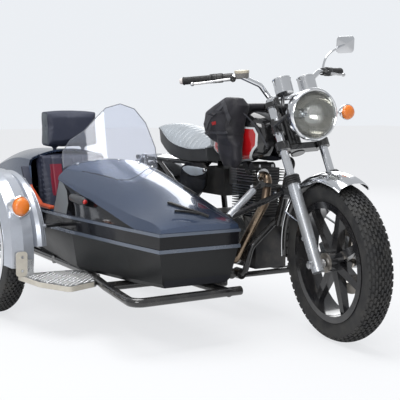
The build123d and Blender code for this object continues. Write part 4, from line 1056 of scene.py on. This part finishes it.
# Drive chain.
# A roller chain of inner and outer links runs over both sprockets on the left.
CHAIN_Y, PITCH, CHAIN_GAP, BACK_R, FRONT_R = 80.0, 15.875, 560.0, 94.0, 40.0


def turned_places(name, places, turns):
    # points that each carry a rotation for the piece put on them
    start = mesh_object(name, places, [])
    for item, value in zip(start.data.attributes.new("turn", "FLOAT_VECTOR", "POINT").data, turns):
        item.vector = value
    return start


chain_links, link = new_group("chain_links", "Geometry", {"Geometry": "Geometry", "Material": "Material"},
                              {"Geometry": "Geometry"})
odd = calc(chain_links, "MODULO", geo(chain_links, "InputIndex"), 2.0)
plate = geo(chain_links, "MeshCylinder", {"Vertices": 12, "Radius": 0.0072, "Depth": 0.0016})
plate = geo(chain_links, "Transform", {"Geometry": plate, "Scale": (1.55, 1, 1), "Rotation": (math.pi / 2, 0, 0)})
roller = geo(chain_links, "MeshCylinder", {"Vertices": 12, "Radius": 0.0050, "Depth": 0.0125})
joined = add_node(chain_links, "GeometryNodeJoinGeometry")
for piece, shift in ((plate, (0, -0.0052, 0)), (plate, (0, 0.0052, 0)), (roller, (0.0079, 0, 0))):
    inputs = {"Geometry": piece, "Translation": shift}
    if piece is roller:
        inputs["Rotation"] = (math.pi / 2, 0, 0)
    chain_links.links.new(geo(chain_links, "Transform", inputs), joined.inputs[0])
breadth = shade(chain_links, "MapRange", {"Value": odd, "To Min": 0.84, "To Max": 1.12})
strewn(chain_links, link["Geometry"], joined.outputs[0], link["Material"],
       Rotation=geo(chain_links, "InputNamedAttribute", {"Name": "turn"}, data_type="FLOAT_VECTOR"),
       Scale=shade(chain_links, "CombineXYZ", {0: 1.0, 1: breadth, 2: 1.0}))
slope = math.asin((BACK_R - FRONT_R) / CHAIN_GAP)
run = CHAIN_GAP * math.cos(slope)
arc_front, arc_back = FRONT_R * (math.pi - 2 * slope), BACK_R * (math.pi + 2 * slope)
total = 2 * run + arc_front + arc_back
count = 2 * round(total / PITCH / 2)
places, turns = [], []
for k in range(count):
    # over the top run, round the front sprocket, back below and round the rear one
    d = total * k / count
    a, straight = math.pi / 2 - slope, 0.0
    centre, radius = 0.0, BACK_R
    if d < run:
        straight = d
    elif d < run + arc_front:
        a, centre, radius = a - (d - run) / FRONT_R, CHAIN_GAP, FRONT_R
    elif d < 2 * run + arc_front:
        a, centre, radius, straight = slope - math.pi / 2, CHAIN_GAP, FRONT_R, d - run - arc_front
    else:
        a = slope - math.pi / 2 - (d - 2 * run - arc_front) / BACK_R
    x = centre + radius * math.cos(a) + straight * math.sin(a)
    z = radius * math.sin(a) - straight * math.cos(a)
    places.append(mm(x, CHAIN_Y, 320 + z))
    turns.append((0.0, math.pi / 2 - a, 0.0))
chain_steel = finish("chain_steel", (0.32, 0.31, 0.29), (0.13, 0.10, 0.08), 0.6, 40, (0.3, 0.5), 600, 0.1,
                     Metallic=1.0)
chain = from_tree("drive_chain_links", chain_links, {"Material": chain_steel},
                  turned_places("chain_places", places, turns))
on_outfit(chain, chain_steel, "engine_alloy", "drive_chain")

# Rear mudguard and lamp.
# A chrome guard with rolled edges carries a black lamp box with a red lens, two round amber
# indicators and a blank plate.
dress(chrome, "rear_mudguard")
for side, hand in HANDS:
    on_outfit(arc_bead(f"rear_guard_bead_{hand}", (0, 320), 332, side * 71.5, 48, 168, 24, 3.2), chrome, "chrome")
dress(black_plastic, "tail_lamp")
red_lens = ribbed_lens("red_lens", 70.0, "Y", Base_Color=(0.5, 0.012, 0.008, 1), Roughness=0.1)[0]
backwards = Matrix.Rotation(math.pi, 3, "Z")
on_outfit(rounded_panel("tail_lens", mm(-384, 0, 560), backwards, (90, 64), 10, 6, 5), red_lens, "amber")
plate_turn = backwards @ Matrix.Rotation(math.radians(-14), 3, "Y")
plate_white = finish("blank_plate", (0.72, 0.72, 0.70), (0.5, 0.49, 0.46), 0.4, 12, (0.35, 0.5), 400, 0.05)
on_outfit(rounded_panel("blank_plate", mm(-388, 0, 500) + plate_turn @ Vector((2.2 * MM, 0, 0)), plate_turn,
                        (228, 178), 8, 1.5), plate_white, "guard_silver")
CUP = [(0, -58), (14, -57), (27, -48), (31, -30), (31.5, -6), (30, 0), (27, 0), (0, -1)]
CUP_LENS = [(0, -0.5), (28.5, -0.5), (28, 4), (22, 9), (10, 11.5), (0, 12)]
for side, hand in HANDS:
    for kind, profile, material, slot in (("rim", CUP, chrome, "chrome"), ("lens", CUP_LENS, amber, "amber")):
        on_outfit(lathe(f"rear_indicator_{kind}_{hand}", profile, mm(-396, side * 128, 600), (-1, 0, 0), 48),
                  material, slot)

# Sidecar hull.
# A boat-shaped hull: satin black below, a gloss black band between two grey mouldings, and a
# metallic blue-grey cowl and tail above. The band is left plain. Three black sticks stand on feet
# on the cowl.
tub_satin = finish("tub_satin", (0.009, 0.010, 0.011), (0.020, 0.020, 0.020), 0.4, 5, (0.34, 0.5), 500, 0.05,
                   Specular_IOR_Level=0.32)
tree = tub_satin.node_tree
repaint(tub_satin, cut_mask(tree, (0, 0, 394), (0, 0, 1)), (0.008, 0.008, 0.010), 0.09)
repaint(tub_satin, box_mask(tree, (-670, -688, 236), (1200, -395, 470)), (0.020, 0.021, 0.026), 0.8)
dress(tub_satin, "sidecar_tub")
belt_grey = finish("belt_grey", (0.12, 0.145, 0.19), (0.19, 0.20, 0.23), 0.4, 12, (0.22, 0.38), 500, 0.03,
                   Metallic=0.5, Coat_Weight=0.5)
dress(belt_grey, "belt_mouldings")
cowl_paint, tail_paint = (
    finish(name, (0.058, 0.088, 0.160), (0.085, 0.112, 0.170), 0.3, 3.5, (0.24, 0.32), 900, 0.01,
           Metallic=0.8, Coat_Weight=1.0, Coat_Roughness=0.04) for name in ("cowl_blue", "tail_blue"))
tree = cowl_paint.node_tree
recess_side = box_mask(tree, (300, -830, 460.5), (1200, -718, 620))
RECESS = [(1063, 460), (386, 597), (384, 461)]
RECESS_PALE = [(384, 458), (387, 596), (424, 590), (474, 558), (510, 506), (512, 458)]
repaint(cowl_paint, calc(tree, "MULTIPLY", recess_side, outline_mask(tree, RECESS)), (0.006, 0.006, 0.007),
        0.07, 0.0, 0.0)
repaint(cowl_paint, calc(tree, "MULTIPLY", recess_side, outline_mask(tree, RECESS_PALE, -1.5)),
        (0.25, 0.265, 0.28), 0.35, 0.3)
dress(cowl_paint, "sidecar_cowl")
repaint(tail_paint, box_mask(tail_paint.node_tree, (-120, -768, 400), (378, -345, 585)), (0.016, 0.018, 0.026),
        0.7, 0.0, 0.0)
dress(tail_paint, "sidecar_tail")
cowl_surface = surface_of(frame["nodes"]["sidecar_cowl"])
dark_gap = finish("panel_gap", (0.012, 0.013, 0.016), (0.03, 0.03, 0.03), 0.4, 40, (0.5, 0.7), 400, 0.1)
BONNET = [(492, -691, 642), (610, -663, 633), (685, -645, 625), (726, -638, 620), (765, -607, 622),
          (757, -570, 632), (729, -530, 644), (631, -430, 657), (566, -366, 661)]
on_outfit(laid_strap("bonnet_seam", BONNET, 3.6, 0.7, cowl_surface, -0.3, 8.0), dark_gap, "black_plastic")
for k, (wide, stops) in enumerate((
        (11, [(1050, -587, 551), (1137, -548, 530), (1197, -492, 506)]),
        (6, [(1132, -607, 528), (1175, -524, 517)]),
        (8, [(880, -410, 590), (944, -391, 566)]))):
    on_outfit(laid_strap(f"cowl_blade_{k + 1}", stops, wide, 7, cowl_surface, 1.0, 12.0, 60.0),
              black_plastic, "black_plastic")
    for n, share in enumerate((0.12, 0.88)):
        found, away = cowl_surface.find_nearest(mm(*Vector(stops[0]).lerp(Vector(stops[-1]), share)))[:2]
        on_outfit(lathe(f"cowl_blade_{k + 1}_foot_{n + 1}", [(0, -1), (5, -1), (5, 2), (3, 4), (0, 4)],
                        found, away, 16), black_plastic, "black_plastic")

# Windscreen.
# A clear acrylic screen bent round the cowl, with a ground edge and a row of screws along its foot.
acrylic, tree, surface = plain("acrylic", Base_Color=(0.80, 0.83, 0.92, 1), IOR=1.30, Transmission_Weight=0.93,
                               Coat_Weight=0.6, Coat_Roughness=0.03)
tree.links.new(shade(tree, "MapRange", {"Value": noise(tree, 6.0, Detail=5.0), "From Min": 0.35, "From Max": 0.75,
                                        "To Min": 0.02, "To Max": 0.10}), surface["Roughness"])
dress(acrylic, "windscreen")
screen_edge = finish("screen_edge", (0.20, 0.21, 0.24), (0.15, 0.16, 0.18), 0.4, 30, (0.25, 0.4), 400, 0.03)
SCREEN_LEAN, SCREEN_FOOT = math.tan(math.radians(14)), 690


def circle_through(a, b, c):
    a, b, c = Vector(a), Vector(b), Vector(c)
    aa, bb, cc = a.length_squared, b.length_squared, c.length_squared
    d = 2 * (a.x * (b.y - c.y) + b.x * (c.y - a.y) + c.x * (a.y - b.y))
    middle = Vector(((aa * (b.y - c.y) + bb * (c.y - a.y) + cc * (a.y - b.y)) / d,
                     (aa * (c.x - b.x) + bb * (a.x - c.x) + cc * (b.x - a.x)) / d))
    return middle, (a - middle).length


arc_mid, arc_r = circle_through((352, -722), (494, -560), (556, -352))


def on_screen(y, z, out=0.0):
    # a point of the screen's middle surface, or out mm before it
    r = arc_r - 1.5 + out
    x = arc_mid.x + math.sqrt(max(0.0, r * r - (y - arc_mid.y) ** 2))
    return mm(x - SCREEN_LEAN * (z - SCREEN_FOOT), y, z)


def stepped(corners, steps):
    # points along a line of corners, without its end
    return [(a[0] + (b[0] - a[0]) * k / steps, a[1] + (b[1] - a[1]) * k / steps)
            for a, b in zip(corners, corners[1:]) for k in range(steps)]


EDGE = [(-352, 690), (-352, 740), (-385, 850), (-430, 912), (-490, 934), (-550, 915), (-600, 862),
        (-640, 812), (-690, 770), (-716, 720), (-718, 668)]
SCREW = [(0, -2), (6.5, -2), (6.5, 0.8), (4.5, 3), (0, 3.6)]
screen_surface = surface_of(frame["nodes"]["windscreen"])
rim_line = [on_screen(y, z) for y, z in stepped(EDGE, 5) + EDGE[-1:]]
snapped = [screen_surface.find_nearest(p, 0.03)[0] or p for p in rim_line]
on_outfit(tube("screen_edge_bead", snapped, 2.0, smooth=False), screen_edge, "screen_clear")
for k, y in enumerate((-680, -620, -523, -440, -380)):
    near, away = min((cowl_surface.find_nearest(on_screen(y, z, 6))[:2] for z in range(640, 740, 6)),
                     key=lambda hit: (hit[0] - on_screen(y, outfit_mm(hit[0]).z)).length)
    on_outfit(lathe(f"screen_screw_{k + 1}", SCREW, near + away * MM + Vector((8 * MM, 0, 0)), away, 20),
              chrome, "chrome")

# Floor mat.
# A dark carpet mat with round corners lies on the hull's floor, ahead of the seat.
carpet = finish("carpet", (0.018, 0.020, 0.030), (0.035, 0.038, 0.050), 0.6, 30, (0.8, 0.95), 1400, 0.8,
                Sheen_Weight=0.4)
on_outfit(rounded_panel("floor_mat", mm(760, -540, 240), Matrix.Rotation(math.radians(-90), 3, "Y"),
                        (260, 420), 30, 8), carpet, "interior_navy")

# Sidecar seat.
# A navy cushion on a box, a leaning backrest with a maroon panel at its outer edge and a tall
# headrest box, all in grained vinyl. A welt runs round each side of the headrest.
CHANNEL, CHANNEL_WIDE = 53.33, 4.5
navy = finish("interior_navy", (0.028, 0.033, 0.058), (0.055, 0.060, 0.085), 0.5, 12, (0.5, 0.7), 900, 0.25)
maroon = finish("maroon_panel", (0.22, 0.010, 0.030), (0.22, 0.03, 0.05), 0.4, 20, (0.4, 0.6), 900, 0.25)
head_side = finish("headrest_side", (0.10, 0.115, 0.13), (0.13, 0.14, 0.15), 0.4, 12, (0.45, 0.6), 900, 0.25)


def channel(y):
    # 1 in the middle of a sewn channel, falling off to both sides
    return math.exp(-(((y + 540 + 26.67) % CHANNEL - 26.67) / CHANNEL_WIDE) ** 2)


def cushion_channels(spot, p, normal):
    return Vector((0, 0, -4.5 * channel(p.y) if p.z > 412 and normal.z > 0.5 else 0))


def back_channels(spot, p, normal):
    return normal * (-4.0 * channel(p.y) if normal.x > 0.5 and 440 < p.z < 680 else 0)


cushion = finer(stuffed("sidecar_cushion", "sidecar_seat", 6.0, 3.0, 8, lambda p: outfit_mm(p).z < 336))
pressed(cushion, cushion_channels)
on_outfit(cushion, navy, "interior_navy", "sidecar_seat", crease=60)
back_pad = finer(stuffed("sidecar_back_pads", "sidecar_backrest", 6.0, 2.5, 6, lambda p: False))
pressed(back_pad, back_channels)
on_outfit(back_pad, navy, "interior_navy", "sidecar_backrest", crease=60)
back_pad.data.materials.append(maroon)
back_pad.data.materials.append(head_side)
for face in back_pad.data.polygons:
    p = outfit_mm(face.center)
    if face.normal.x > 0.4 and -662 < p.y < -600 and 500 < p.z < 645:
        face.material_index = 1
    elif p.z > 722 and abs(face.normal.y) > 0.75:
        face.material_index = 2
back_surface = surface_of(back_pad)
for y, hand in ((-651, "outer"), (-397, "inner")):
    corners = [(-24, 736), (46, 736), (36, 884), (-26, 884), (-24, 736)]
    ring = [back_surface.find_nearest(mm(x, y, z))[0] for x, z in stepped(corners, 6)]
    on_outfit(tube(f"headrest_welt_{hand}", ring, 2.2, closed=True), navy, "interior_navy")

# Gunwale trim.
# An orange-red vinyl roll, navy at its upper end, caps the cut-away side of the cockpit.
trim_red = finish("trim_red", (0.52, 0.075, 0.022), (0.38, 0.07, 0.03), 0.5, 16, (0.32, 0.5), 900, 0.25)
roll = finer(stuffed("gunwale_roll", "gunwale_trim", 4.0, 1.5, 3, lambda p: False))
on_outfit(roll, trim_red, "trim_red", "gunwale_trim", crease=60)
roll.data.materials.append(navy)
for face in roll.data.polygons:
    if outfit_mm(face.center).z > 556:
        face.material_index = 1

# Sidecar chassis and struts.
# Black tubes under the hull with a bow loop in front. One strut to the steering head is silver and
# thick, the other black and thin, with bolts at their ends.
JOINT, STRUT_END = (1082, -330, 476), (1016, -150, 580)
dress(black_paint, "sidecar_chassis", "sidecar_wheel_arm")
strut_paint = finish("strut_silver", (0.60, 0.62, 0.66), (0.38, 0.37, 0.36), 0.4, 12, (0.2, 0.4), 500, 0.04,
                     Metallic=0.6, Coat_Weight=0.4)
tree, strut = strut_paint.node_tree, Vector(JOINT) - Vector(STRUT_END)
silver_part = polar_mask(tree, STRUT_END, strut.normalized(), 17.5, -1, strut.length - 19)
repaint(strut_paint, calc(tree, "SUBTRACT", 1.0, silver_part), (0.012, 0.012, 0.013), 0.25, 0.0)
dress(strut_paint, "sidecar_struts")
for k, (spot, way) in enumerate((((1082, -352, 476), (0, -1, 0)), ((1016, -158, 596), (0, -0.4, 1)),
                                 ((1048, -55, 566), (0, -1, 0)))):
    bolts(f"strut_bolt_{k + 1}", [spot], way, 9, 9)

# Sidecar mudguard and lamps.
# Silver steel lobes with rolled edges over the wheel; their inner strip towards the bike is painted
# black as painted shade. A chrome-rimmed amber lamp sits on the front of the guard, and a grey pod
# with a small red lens on the cowl's side.
guard_silver = finish("guard_silver", (0.52, 0.55, 0.61), (0.36, 0.36, 0.37), 0.35, 7, (0.22, 0.4), 700, 0.03,
                      Metallic=0.45, Coat_Weight=0.8, Coat_Roughness=0.08)
# painted shade: everything in this finish inwards of y = -864, towards the bike, is painted black
repaint(guard_silver, cut_mask(guard_silver.node_tree, (0, -864, 0), (0, 1, 0)), (0.012, 0.012, 0.013), 0.3, 0.0)
dress(guard_silver, "sidecar_mudguard", "sidecar_lamps")
for name, r, y, first, last in (("outer", 292, -1051, -8, 189), ("middle", 292, -927, -8, 188),
                                ("inner", 306, -869, 6, 184)):
    on_outfit(arc_bead(f"side_guard_bead_{name}", (200, 296), r, y, first, last, 32, 3.4),
              guard_silver, "guard_silver")
COLLAR = [(30, -8), (42.6, -8), (42.6, 36), (44.5, 38), (44.5, 46), (41, 49), (37, 47), (36, 43), (30, 43)]
SIDE_LENS = [(0, 43), (36.6, 43), (36.6, 48), (34, 55), (30, 60), (20, 64), (9, 66), (0, 66.5)]
POD = [(0, -16), (10, -15), (15, -8), (17.8, 4), (18, 84), (17.6, 100), (15.6, 112), (14.4, 124),
       (12.5, 126), (12, 122), (0, 122)]
POD_LENS = [(0, 122.5), (11.8, 122.5), (12, 127), (9, 132), (4, 134.5), (0, 135)]
lamp_nose, lamp_way = on_arc((200, 296), 350, -990, 36), (42, 0, 4)
on_outfit(lathe("side_lamp_collar", COLLAR, lamp_nose, lamp_way, 72, True), chrome, "chrome")
on_outfit(lathe("side_lamp_lens", SIDE_LENS, lamp_nose, lamp_way, 72), amber, "amber")
pod_grey = finish("pod_grey", (0.045, 0.047, 0.05), (0.09, 0.09, 0.09), 0.4, 20, (0.3, 0.5), 500, 0.05)
pod_place, pod_way = mm(560, -768, 536), (130, -6, -6)
on_outfit(lathe("cowl_pod", POD, pod_place, pod_way, 40), pod_grey, "black_plastic")
on_outfit(lathe("cowl_pod_lens", POD_LENS, pod_place, pod_way, 32), red_lens, "amber")

# Step.
# A rounded alloy step with raised checker lozenges and a cream band along its outer edge, with a
# cream bracket plate and two bolts.
STEP = [(506, -1004), (714, -990), (866, -927), (812, -785), (684, -700), (600, -690), (520, -770)]
STEP_TOP, STEP_MARGIN, LOZENGE_PITCH = 216.6, 14, 13.0
tread_alloy = finish("checker_plate", (0.58, 0.59, 0.60), (0.36, 0.35, 0.33), 0.5, 20, (0.25, 0.45), 500, 0.1,
                     Metallic=0.9)
dress(tread_alloy, "sidecar_step")
checker, knob = new_group("checker_lozenges", "Geometry",
                          {"Geometry": "Geometry", "Long": 0.007, "Material": "Material"}, {"Geometry": "Geometry"})
raised = geo(checker, "MeshCone", {"Vertices": 8, "Radius Top": calc(checker, "MULTIPLY", knob["Long"], 0.5),
                                   "Radius Bottom": knob["Long"], "Depth": 0.0016})
strewn(checker, knob["Geometry"], geo(checker, "Transform", {"Geometry": raised, "Scale": (1.0, 0.38, 1.0)}),
       knob["Material"],
       Rotation=geo(checker, "InputNamedAttribute", {"Name": "turn"}, data_type="FLOAT_VECTOR"))
places, turns, edges = [], [], list(inwards(STEP))
for i in range(-30, 31):
    for k in range(-30, 31):
        x, y = 680 + i * LOZENGE_PITCH, -850 + k * LOZENGE_PITCH
        if all(way.dot(Vector((x, y)) - point) >= STEP_MARGIN for point, way in edges):
            places.append(mm(x, y, STEP_TOP))
            turns.append((0.0, 0.0, math.radians(45 if (i + k) % 2 else -45)))
lozenges = from_tree("step_checker", checker, {"Long": 6.4 * MM, "Material": tread_alloy},
                     turned_places("checker_places", places, turns))
on_outfit(lozenges, tread_alloy, "step_alloy")
cream_paint = finish("cream_paint", (0.62, 0.58, 0.50), (0.42, 0.38, 0.32), 0.5, 16, (0.35, 0.55), 500, 0.06)
BAND = [(520, -1003, 205), (714, -990, 205), (858, -934, 205), (866, -915, 205), (818, -795, 205)]
on_outfit(laid_strap("step_edge_band", BAND, 21, 1.6, surface_of(frame["nodes"]["sidecar_step"]), -0.3, 8.0),
          cream_paint, "step_alloy")
on_outfit(rounded_panel("bracket_plate", mm(562.4, -1004, 268), Matrix.Identity(3), (50, 104), 14, 3),
          cream_paint, "step_alloy")
bolts("bracket_bolts", [(567, -1004, 240), (567, -1004, 298)], (1, 0, 0), 7, 6)
